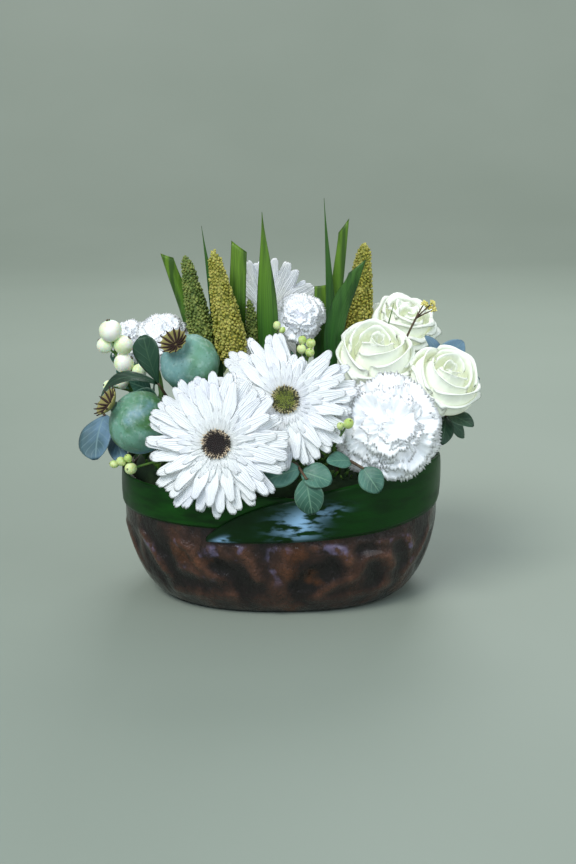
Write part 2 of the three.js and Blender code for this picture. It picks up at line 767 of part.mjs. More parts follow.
const ROSES = [
  { name: 'rose_centre', at: [64, -22, 171], look: [4, 58], radius: 27, seed: 41, entry: [50, -14] },
  { name: 'rose_right', at: [110, -32, 156], look: [28, 46], radius: 25.5, seed: 47, entry: [80, -18] },
  {
    name: 'rose_open', at: [88, 26, 187], look: [20, 58], radius: 22, seed: 53, entry: [68, 14],
    waves: 0.16, open: 1,
  },
  { name: 'rose_back', at: [-52, 62, 158], look: [200, 36], radius: 25, seed: 59, entry: [-42, 40] },
];

function addRoses() {
  ROSES.forEach((bloom) => {
    const spec = { ...bloom, surface: 'cream', roll: 0, stem: 2.4 };
    addBloom(spec, roseHead(bloom), bloom.radius * 0.9);
  });
}

// ---- Poppy pods ----

const CROWN_RAYS = 11;
const POD_PROFILE = [
  [0, -1.12], [0.28, -1.02], [0.72, -0.72], [0.97, -0.26], [0.98, 0.2], [0.78, 0.62],
  [0.26, 0.94], [0.2, 1.04], [0, 1.04],
];

// The crown is a disc of rays on a short neck, just clear of the pod.
function podCrown(radius) {
  const base = 1.04 * radius + GAP;
  const spacing = (Math.PI * 2) / CROWN_RAYS;
  const rays = repeat(CROWN_RAYS, (k) => {
    const place = (turn, share, height) => {
      const angle = spacing * (k + 0.5 + turn);
      return vec(Math.cos(angle) * share * radius, Math.sin(angle) * share * radius, base + height);
    };
    const root = [-0.5, 0, 0.5].map((turn) => place(turn, 0.2, 2));
    const middle = [-0.4, 0, 0.4].map((turn) => place(turn, 0.38, 3));
    return [root, middle, [-0.22, 0.22].map((turn) => place(turn, 0.58, 5.2))];
  });
  const parts = [{ ring: roundRing(0.19 * radius, base, 8) }, { petals: rays }];
  return solidFrom(headSkin(vec(0, 0, base), parts, vec(0, 0, base + 2.6), 1.4));
}

const PODS = [
  { name: 'pod_upper', at: [-59.5, -52, 172], look: [-29, 44], radius: 19.5, entry: [-50, -28] },
  { name: 'pod_lower', at: [-93.5, -54, 132.5], look: [-66, 36], radius: 21, entry: [-70, -34] },
];

function addPods() {
  PODS.forEach((pod) => {
    const body = turned(POD_PROFILE.map(([r, z]) => [r * pod.radius, z * pod.radius]), 14);
    const spec = { ...pod, surface: 'pod', roll: 0, stem: 2.2 };
    addBloom(spec, solidFrom(body), pod.radius * 1.05);
    const placement = placementOf(pod.at, facing(...pod.look));
    addMesh(pod.name.replace('pod', 'crown'), 'crown', podCrown(pod.radius), placement);
  });
}

// ---- Millet spikes ----

// A tapered spike covered in grains, each of which is a knob on its surface.
function milletSolid({ foot, tip, radius, around, rows }) {
  const start = vec(...foot);
  const along = vec(...tip).sub(start);
  const length = along.length();
  const placement = new THREE.Quaternion().setFromUnitVectors(vec(0, 0, 1), along.normalize());
  const rings = repeat(rows + 1, (i) => {
    const t = i / rows;
    const body = radius * Math.sin(Math.PI * Math.min(0.5, 0.16 + 1.3 * t)) * (1 - 0.72 * t ** 1.7);
    return repeat(around, (k) => {
      const reach = body * ((i + k) % 2 === 0 ? 1.12 : 0.84);
      const angle = (k / around) * Math.PI * 2;
      return vec(Math.cos(angle) * reach, Math.sin(angle) * reach, t * length);
    });
  });
  const spike = loft(rings, vec(0, 0, -1), vec(0, 0, length + 1.5), true);
  return spike.applyQuaternion(placement).translate(start.x, start.y, start.z);
}

const MILLET_STEM = 1.6;
const MILLETS = [
  {
    name: 'millet_green_left', surface: 'greenGrain', foot: [-50, 0, 160], tip: [-66, 10, 234],
    radius: 9.4, around: 10, rows: 16, entry: [-44, 2],
  },
  {
    name: 'millet_yellow_left', surface: 'yellowGrain', foot: [-31, -8, 160], tip: [-46, 0, 239],
    radius: 10.5, around: 12, rows: 17, entry: [-28, -10],
  },
  {
    name: 'millet_green_small', surface: 'greenGrain', foot: [-18, 12, 170], tip: [-22, 12, 203],
    radius: 5, around: 8, rows: 9, entry: [-17, 9],
  },
  {
    name: 'millet_yellow_right', surface: 'yellowGrain', foot: [52, 30, 172], tip: [59, 31, 240],
    radius: 11, around: 12, rows: 15, entry: [50, 28],
  },
];

function addMillets() {
  MILLETS.forEach((spike) => {
    const foot = vec(...spike.foot);
    const axis = vec(...spike.tip).sub(foot).normalize();
    const stations = stemStations(spike.entry, foot.clone().addScaledVector(axis, 2), axis);
    const stem = tube(stations, MILLET_STEM, STEM_SIDES);
    drillHole(spike.entry, MILLET_STEM);
    addMesh(spike.name, spike.surface, join([solidFrom(milletSolid(spike)), solidFrom(stem)]));
  });
}

// ---- Leaf blades ----

// A stiff folded blade from its hole up to its tip. `face` is the turn of its face, and `cut`
// is how far the cut end slants, or null for a tip drawn out to a point.
function bladeSolid({ entry, knee, tip, width, face, cut = null }) {
  const { foot, mouth } = stemSeat(entry);
  const route = new THREE.CatmullRomCurve3([mouth, vec(...knee), vec(...tip)]);
  const across = facing(face + 90, 0);
  const front = facing(face, 0);
  const shares = [0, 0, 0.3, 0.55, 0.8, 1];
  const widths = cut === null ? [0, 0, 0.8, 1, 0.5, 0.06] : [0, 0, 0.75, 1, 0.95, 0.85];
  const rows = shares.map((share, i) => {
    const middle = i === 0 ? foot : route.getPoint(share);
    const half = i < 2 ? BLADE_ROOT : (widths[i] * width) / 2;
    const slant = i === shares.length - 1 && cut !== null ? cut : 0;
    return [-1, 0, 1].map((side) => {
      const point = middle.clone().addScaledVector(across, side * half);
      point.addScaledVector(front, side === 0 && i > 1 ? 0.14 * half : 0);
      point.z += side * slant;
      return point;
    });
  });
  return solidFrom(sheet(rows, BLADE_THICKNESS));
}

const BLADE_ROOT = 1.6;
const BLADE_THICKNESS = 1.8;
const BLADES = [
  {
    name: 'blade_cut_left', entry: [-56, 18], knee: [-61, 17, 175], tip: [-79, 16, 234],
    width: 10.5, face: 0, cut: -1.5,
  },
  {
    name: 'blade_thin_left', entry: [-42, 20], knee: [-45, 20, 178], tip: [-55, 20, 254],
    width: 7, face: 0,
  },
  {
    name: 'blade_cut_middle', entry: [-29, 20], knee: [-31, 17, 180], tip: [-29, 19, 240],
    width: 12.5, face: 0, cut: -4,
  },
  {
    name: 'blade_tall_middle', entry: [-10, -5], knee: [-9, -8, 190], tip: [-12.5, -8, 266.5],
    width: 14.5, face: 0,
  },
  {
    name: 'blade_tall_right', entry: [30, 6], knee: [35, 5, 180], tip: [29.5, 5, 274.5], width: 7,
    face: 0,
  },
  {
    name: 'blade_cut_right', entry: [37, 16], knee: [37, 14, 182], tip: [43.5, 15, 255],
    width: 8.5, face: 0, cut: 5,
  },
  {
    name: 'blade_broad_right', entry: [36, -7], knee: [36.5, -9, 184], tip: [52, -12, 231],
    width: 14, face: 0, cut: 5,
  },
  {
    name: 'blade_short_right', entry: [23, 20], knee: [28, 21, 178], tip: [27.5, 22, 212],
    width: 9.5, face: 0, cut: 0.5,
  },
];

function addBlades() {
  BLADES.forEach((blade) => {
    drillHole(blade.entry, BLADE_ROOT);
    addMesh(blade.name, 'blade', bladeSolid(blade));
  });
}

// ---- Eucalyptus sprigs ----

// A round cupped leaf from a point on its twig towards its tip.
const ROUND_LEAF_ROWS = [
  { share: 0, width: 0, sides: [0] },
  { share: 0.36, width: 0.84, sides: [-1, 0, 1] },
  { share: 0.74, width: 0.88, sides: [-1, 0, 1] },
  { share: 1, width: 0, sides: [0] },
];

function roundLeaf({ root, tip, face, width }) {
  const along = tip.clone().sub(root);
  const across = along.clone().cross(face).normalize();
  const up = across.clone().cross(along).normalize();
  const rows = ROUND_LEAF_ROWS.map((row) =>
    row.sides.map((side) => {
      const half = (row.width * width) / 2;
      const point = root.clone().addScaledVector(along, row.share);
      point.addScaledVector(across, -side * half);
      return point.addScaledVector(up, side === 0 ? 0 : 0.16 * half);
    }),
  );
  return solidFrom(sheet(rows, LEAF_THICKNESS));
}

// Leaves placed one by one have their tip, width and the side they face. Others follow the
// rule: alternate sides along the twig, smaller towards its end.
function sprigSolid({ entry, route, leaves = [], pairs = 0, size = 20, seed = 1 }) {
  const stations = twigStations(entry, route, 6);
  const twig = new THREE.CatmullRomCurve3(stations.slice(1));
  const random = randomStream(seed);
  const solids = [solidFrom(tube(stations, TWIG_RADIUS, STEM_SIDES))];
  leaves.forEach(({ along, tip, width, look }) => {
    const root = twig.getPointAt(along);
    solids.push(roundLeaf({ root, tip: vec(...tip), face: facing(...look), width }));
  });
  for (let n = 0; n < pairs * 2; n += 1) {
    const share = mix(0.42, 0.97, n / (pairs * 2 - 1));
    const root = twig.getPointAt(share);
    const forward = twig.getTangentAt(share);
    const outward = vec(root.x, root.y * 1.4, 0).normalize();
    const beside = forward.clone().cross(outward).normalize();
    const turn = (n % 2 === 0 ? 1 : -1) * mix(0.7, 1.2, random());
    const reach = size * mix(1.05, 0.75, n / (pairs * 2)) * mix(0.9, 1.1, random());
    const direction = forward.clone().multiplyScalar(0.55);
    direction.addScaledVector(beside, turn).addScaledVector(outward, 0.25 + 0.3 * random());
    const tip = root.clone().addScaledVector(direction.normalize(), reach);
    const face = outward.clone().add(vec(0, 0, 0.4));
    solids.push(roundLeaf({ root, tip, face, width: reach * 0.85 }));
  }
  return join(solids);
}

const TWIG_RADIUS = 1.4;
const SPRIGS = [
  {
    name: 'eucalyptus_left_tall', entry: [-60, -14], route: [[-72, -30, 135], [-82, -40, 156]],
    leaves: [
      { along: 0.97, tip: [-89, -41, 189], width: 18, look: [-20, 10] },
      { along: 0.99, tip: [-117, -33, 152], width: 13, look: [-10, 60] },
    ],
  },
  {
    name: 'eucalyptus_left_low', entry: [-84, -22], route: [[-108, -22, 114], [-121, -28, 132]],
    leaves: [
      { along: 0.97, tip: [-124, -52, 107], width: 25, look: [-30, 10] },
      { along: 0.7, tip: [-104, -56, 104], width: 16, look: [-20, 20] },
    ],
  },
  {
    name: 'eucalyptus_front_left', entry: [6, -54], route: [[10, -82, 112], [17, -97, 106]],
    leaves: [
      { along: 0.98, tip: [20.5, -101, 83.5], width: 19, look: [0, 10] },
      { along: 0.8, tip: [-11, -92, 103], width: 17, look: [-10, 25] },
      { along: 0.86, tip: [33, -97, 104], width: 18, look: [20, 30] },
    ],
  },
  {
    name: 'eucalyptus_front_right', entry: [38, -54], route: [[44, -74, 112], [54, -86, 110]],
    leaves: [
      { along: 0.98, tip: [64, -93, 96], width: 17, look: [10, 10] },
      { along: 0.72, tip: [30, -88, 115], width: 13, look: [0, 45] },
    ],
  },
  {
    name: 'eucalyptus_right_tall', entry: [86, 2], route: [[108, 2, 140], [112, -4, 165]],
    leaves: [
      { along: 0.97, tip: [125, -11, 179], width: 18, look: [10, 20] },
      { along: 0.99, tip: [99, -8, 182], width: 9, look: [0, 50] },
      { along: 0.86, tip: [137, -12, 152], width: 12, look: [30, 40] },
    ],
  },
  {
    name: 'eucalyptus_right_low', entry: [88, -8], route: [[108, -22, 124], [114, -34, 133]],
    leaves: [
      { along: 0.98, tip: [129, -48, 128], width: 13, look: [20, 40] },
      { along: 0.8, tip: [128, -12, 112], width: 15, look: [60, 20] },
      { along: 0.9, tip: [108, -50, 116], width: 13, look: [10, 20] },
    ],
  },
  {
    name: 'eucalyptus_back_left', entry: [-78, 32], route: [[-96, 52, 128], [-110, 62, 150]],
    pairs: 3, size: 24, seed: 61,
  },
  {
    name: 'eucalyptus_back_middle', entry: [4, 52], route: [[4, 74, 130], [2, 84, 156]], pairs: 3,
    size: 25, seed: 67,
  },
  {
    name: 'eucalyptus_back_right', entry: [74, 34], route: [[98, 48, 130], [108, 52, 152]],
    pairs: 3, size: 24, seed: 71,
  },
];

function addSprigs() {
  SPRIGS.forEach((sprig) => {
    drillHole(sprig.entry, TWIG_RADIUS);
    addMesh(sprig.name, 'eucalyptus', sprigSolid(sprig));
  });
}

// ---- Snowberries, buds and the tuft ----

// Small balls on stalks that branch from one thin stem.
function clusterSolid({ entry, route, balls, stem, sides, stretch = 1 }) {
  const stations = twigStations(entry, route, 5);
  const twig = new THREE.CatmullRomCurve3(stations.slice(1));
  const solids = [solidFrom(tube(stations, stem, 4))];
  balls.forEach(([x, y, z, radius, along]) => {
    const centre = vec(x, y, z);
    const root = twig.getPointAt(along);
    if (root.distanceTo(centre) > radius * 0.6) {
      solids.push(solidFrom(tube([root, centre], stem * 0.7, 3)));
    }
    solids.push(solidFrom(ball(centre, radius, sides, stretch)));
  });
  return join(solids);
}

const CLUSTERS = [
  {
    name: 'snowberries', surface: 'berry', entry: [-80, 0], stem: 1.2, sides: 7,
    route: [[-98, -14, 135], [-108, -21, 160], [-112, -22, 172]],
    balls: [
      [-119.5, -20, 178, 5.7, 1], [-106.5, -22, 178.5, 6.8, 1], [-115, -23, 188.5, 7.8, 1],
      [-106.5, -22, 166, 7, 0.9], [-96, -25, 161, 5, 0.8], [-108, -25, 153, 4.4, 0.7],
      [-117, -27, 151, 4, 0.66],
    ],
  },
  {
    name: 'buds_left', surface: 'bud', entry: [-62, -46], stem: 1, sides: 6, stretch: 1.2,
    route: [[-80, -62, 108], [-96, -74, 107]],
    balls: [
      [-104, -76, 112, 3, 1], [-109, -74, 109.5, 2.6, 1], [-99, -79, 115, 2.6, 0.97],
      [-97.5, -79, 108, 3.9, 0.97],
    ],
  },
  {
    name: 'buds_centre', surface: 'bud', entry: [16, -20], stem: 1, sides: 6, stretch: 1.1,
    route: [[17, -34, 140], [17, -40, 174]],
    balls: [
      [14, -43, 180, 3.2, 1], [20, -43, 184, 3.2, 1], [19.5, -45, 178, 3, 1],
      [14.5, -42, 186, 2.8, 1],
    ],
  },
  {
    name: 'buds_small', surface: 'bud', entry: [-2, -18], stem: 1, sides: 6, stretch: 1.2,
    route: [[-3, -22, 150], [-3, -22, 184]],
    balls: [[-2.5, -22, 192, 2.6, 1], [1, -21, 188.5, 2.2, 1]],
  },
  {
    name: 'buds_front', surface: 'bud', entry: [28, -46], stem: 1, sides: 6, stretch: 1.3,
    route: [[32, -66, 114], [41, -86, 136]],
    balls: [[43.5, -93, 142, 3.3, 1], [38.5, -90, 139.5, 2.4, 1]],
  },
  {
    name: 'tuft_sprig', surface: 'tuft', entry: [77, 4], stem: 0.9, sides: 5,
    route: [[84, 4, 140], [85, 0, 172], [95, -1, 197]],
    balls: [
      [101, 3, 199.5, 2.3, 1], [105, 3, 198, 1.9, 1], [98.5, 2, 202, 1.8, 1],
      [104, 2, 202.5, 1.8, 1],
    ],
  },
];

function addClusters() {
  CLUSTERS.forEach((cluster) => {
    drillHole(cluster.entry, cluster.stem);
    addMesh(cluster.name, cluster.surface, clusterSolid(cluster));
  });
}

// ---- The leaves wrapped round the bowl ----

// A strap of leaf that follows the bowl's own steps from `first` to `last`. edgesAt(share) gives
// its lower and upper edge and how far it stands off the bowl.
function wrapLeaf(first, last, edgesAt) {
  const rows = [];
  for (let step = first; step <= last; step += 1) {
    const share = (step - first) / (last - first);
    const { low, high, off } = edgesAt(share);
    const angle = (step / AROUND) * Math.PI * 2;
    const inner = off + GAP;
    const outer = inner + LEAF_THICKNESS;
    const middle = mix(low, high, 0.5);
    rows.push([
      ovalPoint(BOWL_HALF_WIDTH, angle, high, inner),
      ovalPoint(BOWL_HALF_WIDTH, angle, high, outer),
      ovalPoint(BOWL_HALF_WIDTH, angle, middle, outer + 0.4),
      ovalPoint(BOWL_HALF_WIDTH, angle, low, outer),
      ovalPoint(BOWL_HALF_WIDTH, angle, low, inner),
    ]);
  }
  const centre = (row) => row.reduce((sum, p) => sum.add(p), vec(0, 0, 0)).divideScalar(row.length);
  return solidFrom(loft(rows, centre(rows[0]), centre(rows.at(-1))));
}

// Steps count from the right side (0), over the back (12) and the left (24), to the front (36).
// Where two leaves overlap, the outer one stands LAP off the bowl.
const LAP = LEAF_THICKNESS + 2 * GAP;
const WRAPS = [
  {
    name: 'wrap_leaf_right', first: 33, last: 55,
    edges: (s) => ({
      low: 57.5 + 11.5 * smooth(0, 0.75, s),
      high: 61 + 43 * (1 - Math.exp(-s / 0.15)) * (1 - 0.72 * smooth(0.55, 1, s)),
      off: LAP * (1 - smooth(0.32, 0.45, s)) + LAP * smooth(0.76, 0.88, s),
    }),
  },
  {
    name: 'wrap_leaf_left', first: 17, last: 39,
    edges: (s) => ({
      low: 66.5,
      high: 72 + 21 * smooth(0, 0.25, s) - 4 * s - 16 * smooth(0.86, 1, s),
      off: LAP * (1 - smooth(0.155, 0.28, s)),
    }),
  },
  {
    name: 'wrap_leaf_back', first: 5, last: 20,
    edges: (s) => ({
      low: 66,
      high: 70 + 25 * Math.sin(Math.PI * mix(0.06, 0.94, s)) ** 0.5,
      off: 0,
    }),
  },
];

function addWraps() {
  WRAPS.forEach((leaf) => {
    addMesh(leaf.name, 'wrap', wrapLeaf(leaf.first, leaf.last, leaf.edges));
  });
}

// ---- Assembly ----

addMesh('bowl', 'bowl', solidFrom(bowl()));
addWraps();
addGerberas();
addCarnations();
addRoses();
addPods();
addMillets();
addBlades();
addSprigs();
addClusters();
addMesh('foam', 'foam', foam());

export default centerpiece;
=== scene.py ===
"""A floral table centerpiece: white and cream blooms, poppy pods, millet spikes, leaf blades and
eucalyptus in a carved oval bowl wrapped in long glossy leaves.

Shapes are worked out in millimetres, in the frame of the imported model, and turned to metres where
a piece is built. Every piece replaces the plain solid of its node, at the same place and size.
"""

import random
from math import copysign, cos, degrees, exp, hypot, inf, pi, radians, sin, sqrt, tan, tau

import bpy
from mathutils import Matrix, Quaternion, Vector, noise


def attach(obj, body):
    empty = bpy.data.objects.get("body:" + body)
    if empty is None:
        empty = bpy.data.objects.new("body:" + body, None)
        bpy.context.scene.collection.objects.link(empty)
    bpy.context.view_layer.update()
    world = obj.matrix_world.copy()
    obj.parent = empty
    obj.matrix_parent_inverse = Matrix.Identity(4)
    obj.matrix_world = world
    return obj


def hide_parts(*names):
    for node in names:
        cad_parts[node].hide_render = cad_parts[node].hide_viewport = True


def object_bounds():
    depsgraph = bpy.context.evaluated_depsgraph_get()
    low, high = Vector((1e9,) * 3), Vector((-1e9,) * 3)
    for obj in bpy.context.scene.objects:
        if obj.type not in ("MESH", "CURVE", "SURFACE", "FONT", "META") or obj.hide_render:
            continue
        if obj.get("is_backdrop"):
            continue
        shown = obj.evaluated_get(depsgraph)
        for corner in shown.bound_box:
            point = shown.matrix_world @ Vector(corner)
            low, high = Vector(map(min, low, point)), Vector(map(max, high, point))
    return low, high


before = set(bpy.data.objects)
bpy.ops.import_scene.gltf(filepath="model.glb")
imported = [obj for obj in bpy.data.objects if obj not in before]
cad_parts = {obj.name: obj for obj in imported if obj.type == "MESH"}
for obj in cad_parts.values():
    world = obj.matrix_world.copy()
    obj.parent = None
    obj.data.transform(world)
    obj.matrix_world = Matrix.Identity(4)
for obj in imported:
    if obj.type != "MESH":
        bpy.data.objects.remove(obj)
cad_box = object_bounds()

# ---- Driving dimensions, in millimetres ----

MM = 0.001
BOWL_HEIGHT = 88
BOWL_HALF_WIDTH = 110
BASE_HALF_WIDTH = 78
BELLY_HEIGHT = 57.5
BELLY_CURVE = 1.6
DEPTH_RATIO = 0.74
OVAL_POWER = 2.3
WALL = 5
FLOOR = 6
FOAM_GAP = 0.4
FOAM_TOP = 97
STEM_DEPTH = 28
STEM_LEAN = 0.0035
CARVING_DEPTH = 2.4
LEAF_OFF_BOWL = 0.9
WRAP_THICKNESS = 0.9
PETAL_THICKNESS = 0.3
SEPAL_THICKNESS = 0.5
LEAF_THICKNESS = 0.6
BLADE_THICKNESS = 0.8

UP = Vector((0, 0, 1))
GOLDEN_ANGLE = 2.39996


# ---- Numbers and directions ----


def mix(low, high, share):
    return low + (high - low) * share


def smooth(low, high, value):
    share = min(max((value - low) / (high - low), 0.0), 1.0)
    return share * share * (3 - 2 * share)


def between(chance, low, high):
    return mix(low, high, chance.random())


def swing(chance, size):
    """A random number from -size to size."""
    return (chance.random() * 2 - 1) * size


def any_turn(chance):
    return chance.random() * 6.28


def shares(steps):
    """Evenly spaced numbers from 0 to 1."""
    return [i / steps for i in range(steps + 1)]


def spans(steps):
    """Evenly spaced numbers from -1 to 1."""
    return [2 * i / steps - 1 for i in range(steps + 1)]


def grid(spot, lengths, widths):
    """Rows of points, one row for each length. A function gives the point at a length and width."""
    return [[spot(length, width) for width in widths] for length in lengths]


def turns(count):
    """Evenly spaced angles round a circle."""
    return [tau * k / count for k in range(count)]


def polar(angle, reach, height):
    return Vector((cos(angle) * reach, sin(angle) * reach, height))


def beside(angle):
    """The level direction at right angles to an angle."""
    return Vector((-sin(angle), cos(angle), 0))


def circle(count, reach, height):
    return [polar(angle, reach, height) for angle in turns(count)]


def facing(turn, height):
    """A direction from its turn to the right of the front and its height above level."""
    across, above = radians(turn), radians(height)
    return Vector((sin(across) * cos(above), -cos(across) * cos(above), sin(above)))


def placement(at, axis, roll=0):
    """Puts a shape at a place, with its top along an axis."""
    turn = UP.rotation_difference(axis) @ Quaternion(UP, radians(roll))
    return Matrix.Translation(Vector(at)) @ turn.to_matrix().to_4x4()


def raised(height):
    return Matrix.Translation((0, 0, height))


# ---- Routes of stems and twigs ----


def through(points, steps):
    """Points of a smooth curve through the given ones."""
    ends = [points[0] * 2 - points[1], *points, points[-1] * 2 - points[-2]]
    route = []
    for a, b, c, d in zip(ends, ends[1:], ends[2:], ends[3:]):
        bend, sway = a * 2 - b * 5 + c * 4 - d, b * 3 - a - c * 3 + d
        for t in shares(steps)[:-1]:
            route.append((b * 2 + (c - a) * t + bend * t**2 + sway * t**3) / 2)
    return [*route, points[-1].copy()]


def stem_seat(entry):
    """The lean, mouth and foot of a stem that enters the foam at a point."""
    x, y = entry
    lean = Vector((x * STEM_LEAN, y * STEM_LEAN, 1)).normalized()
    mouth = Vector((x, y, FOAM_TOP)) + lean
    return lean, mouth, mouth - lean * STEM_DEPTH


def stem_route(entry, base, axis, slack):
    lean, mouth, foot = stem_seat(entry)
    reach = (mouth - base).length * slack
    first, second = mouth + lean * reach, base - axis * reach
    route = [foot]
    for t in shares(12):
        u = 1 - t
        route.append(mouth * u**3 + first * (3 * u * u * t) + second * (3 * u * t * t) + base * t**3)
    return route


def along_route(route, share):
    """The point and direction at a share of a route's length."""
    lengths = [(b - a).length for a, b in zip(route, route[1:])]
    left = share * sum(lengths)
    for (a, b), length in zip(zip(route, route[1:]), lengths):
        if left <= length:
            break
        left -= length
    return a + (b - a) * min(left / length, 1), (b - a).normalized()


# ---- Skins: closed shapes with the values that their finishes read ----


def new_object(name, data):
    made = bpy.data.objects.new(name, data)
    bpy.context.scene.collection.objects.link(made)
    return made


class Skin:
    """Closed shapes of one piece. Each point knows how far along and across its petal, leaf or
    grain it lies, and a number drawn for that petal, leaf or grain."""

    def __init__(self, place=None):
        self.place = place or Matrix.Identity(4)
        self.points = []
        self.values = []
        self.faces = []
        self.face_finish = []

    def point(self, spot, along, across, chance):
        self.points.append(self.place @ spot)
        self.values.append((along, across, chance))
        return len(self.points) - 1

    def face(self, corners, finish):
        self.faces.append(corners)
        self.face_finish.append(finish)

    def sheet(self, rows, thickness, chance, finish=0):
        """A thin petal or leaf over rows of points on its middle surface, root row first. Both
        sides meet along its edge."""
        last_row, last_column = len(rows) - 1, len(rows[0]) - 1
        front, back = [], []
        for i, row in enumerate(rows):
            front.append([])
            back.append([])
            for j, spot in enumerate(row):
                along, across = i / last_row, 2 * j / last_column - 1
                if i in (0, last_row) or j in (0, last_column):
                    corner = self.point(spot, along, across, chance)
                    front[i].append(corner)
                    back[i].append(corner)
                else:
                    ahead = rows[i + 1][j] - rows[i - 1][j]
                    normal = (row[j + 1] - row[j - 1]).cross(ahead).normalized() * (thickness / 2)
                    front[i].append(self.point(spot + normal, along, across, chance))
                    back[i].append(self.point(spot - normal, along, across, chance))
        for i in range(last_row):
            for j in range(last_column):
                self.face((front[i][j], front[i][j + 1], front[i + 1][j + 1], front[i + 1][j]), finish)
                self.face((back[i + 1][j], back[i + 1][j + 1], back[i][j + 1], back[i][j]), finish)

    def loft(self, rings, chance, finish=0, ends=None):
        """A closed skin over rings that run the same way round, with a point at each end."""
        count, last = len(rings[0]), len(rings) - 1
        foot, top = ends or [sum(ring, Vector()) / count for ring in (rings[0], rings[-1])]
        start = self.point(foot, 0, 0, chance)
        numbers = [
            [self.point(spot, i / last, k / count, chance) for k, spot in enumerate(ring)]
            for i, ring in enumerate(rings)
        ]
        end = self.point(top, 1, 0, chance)
        for k in range(count):
            after = (k + 1) % count
            self.face((start, numbers[0][after], numbers[0][k]), finish)
            self.face((end, numbers[-1][k], numbers[-1][after]), finish)
            for low, high in zip(numbers, numbers[1:]):
                self.face((low[k], low[after], high[after], high[k]), finish)

    def turned(self, profile, sides, size=1):
        """A shape of revolution from (radius, height) pairs, foot first."""
        self.loft([circle(sides, r * size, z * size) for r, z in profile], 0.4)

    def tube(self, route, radii, sides, chance, finish=0):
        """A round stem along a route. The radii are those of its foot and its top."""
        ahead = (route[1] - route[0]).normalized()
        side = ahead.orthogonal().normalized()
        rings = []
        for i, spot in enumerate(route):
            after = (route[min(i + 1, len(route) - 1)] - route[max(i - 1, 0)]).normalized()
            side = (ahead.rotation_difference(after) @ side).normalized()
            ahead = after
            radius = mix(radii[0], radii[1], i / (len(route) - 1))
            other = ahead.cross(side)
            rings.append([spot + (side * cos(t) + other * sin(t)) * radius for t in turns(sides)])
        self.loft(rings, chance, finish)

    def stem(self, entry, base, axis, radius, sides=10, chance=0.3, finish=0, slack=0.4):
        """A stem from its hole in the foam to the base of a head that looks along an axis."""
        self.place = Matrix.Identity(4)
        self.tube(stem_route(entry, base, axis, slack), (radius, radius), sides, chance, finish)

    def twig(self, entry, stops, radii, finish=1):
        """A twig from its hole in the foam past its stops. Gives its route above the foam."""
        lean, mouth, foot = stem_seat(entry)
        route = through([mouth, mouth + lean * 5, *[Vector(stop) for stop in stops]], 6)
        self.tube([foot, *route], radii, 8, 0.5, finish)
        return route

    def ball(self, centre, radius, chance, axis=UP, stretch=1.0, rows=6, sides=8, finish=0, dent=0.0):
        """A round grain, berry or bud. A dent draws in its top."""
        turn = UP.rotation_difference(axis)
        rings = []
        for i in range(1, rows):
            height = pi * i / rows
            up = -cos(height) * stretch
            rings.append([])
            for k in range(sides):
                angle = tau * (k + 0.5 * (i % 2)) / sides
                spot = polar(angle, sin(height), up - dent * smooth(0.5, 1, up))
                rings[-1].append(centre + turn @ spot * radius)
        foot = centre - turn @ UP * (radius * stretch)
        top = centre + turn @ UP * (radius * (stretch - 1.6 * dent))
        self.loft(rings, chance, finish, (foot, top))

    def build(self, name, finishes, node, slot):
        mesh = bpy.data.meshes.new(name)
        mesh.from_pydata([spot * MM for spot in self.points], [], self.faces)
        for column, value in enumerate(("along", "across", "chance")):
            layer = mesh.attributes.new(value, "FLOAT", "POINT")
            layer.data.foreach_set("value", [values[column] for values in self.values])
        for finish in finishes:
            mesh.materials.append(finish)
        mesh.polygons.foreach_set("material_index", self.face_finish)
        mesh.polygons.foreach_set("use_smooth", [True] * len(self.faces))
        mesh.update()
        piece = new_object(name, mesh)
        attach(piece, "root")
        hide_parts(node)


# ---- Wiring of finishes ----


class Wiring:
    """Makes and joins shader nodes. A value given where a socket is meant is set on the node."""

    def __init__(self, tree):
        self.tree = tree

    def feed(self, socket, value):
        if isinstance(value, bpy.types.NodeSocket):
            self.tree.links.new(value, socket)
        else:
            socket.default_value = (*value, 1) if socket.type == "RGBA" else value

    def node(self, kind, inputs=None, **settings):
        made = self.tree.nodes.new(kind)
        for setting, value in settings.items():
            setattr(made, setting, value)
        for socket, value in (inputs or {}).items():
            self.feed(made.inputs[socket], value)
        return made

    def maths(self, operation, *values):
        return self.node("ShaderNodeMath", dict(enumerate(values)), operation=operation).outputs[0]

    def times(self, first, second):
        return self.maths("MULTIPLY", first, second)

    def scaled(self, value, by, start):
        return self.maths("MULTIPLY_ADD", value, by, start)

    def stretch(self, value, low, high, to_low=0.0, to_high=1.0):
        inputs = {"Value": value, "From Min": low, "From Max": high, "To Min": to_low, "To Max": to_high}
        return self.node("ShaderNodeMapRange", inputs, interpolation_type="SMOOTHSTEP").outputs[0]

    def where(self):
        return self.node("ShaderNodeTexCoord").outputs["Object"]


class Effect(Wiring):
    """A shader node group with named inputs and one output."""

    def __init__(self, name, output, **inputs):
        super().__init__(bpy.data.node_groups.new(name, "ShaderNodeTree"))
        for socket, value in inputs.items():
            self.add_socket(socket, "INPUT").default_value = value
        self.add_socket(output, "OUTPUT")
        self.given = self.tree.nodes.new("NodeGroupInput").outputs
        self.result = self.tree.nodes.new("NodeGroupOutput").inputs[0]

    def add_socket(self, name, way):
        return self.tree.interface.new_socket(name=name, in_out=way, socket_type="NodeSocketFloat")

    def give(self, value):
        self.feed(self.result, value)
        return self


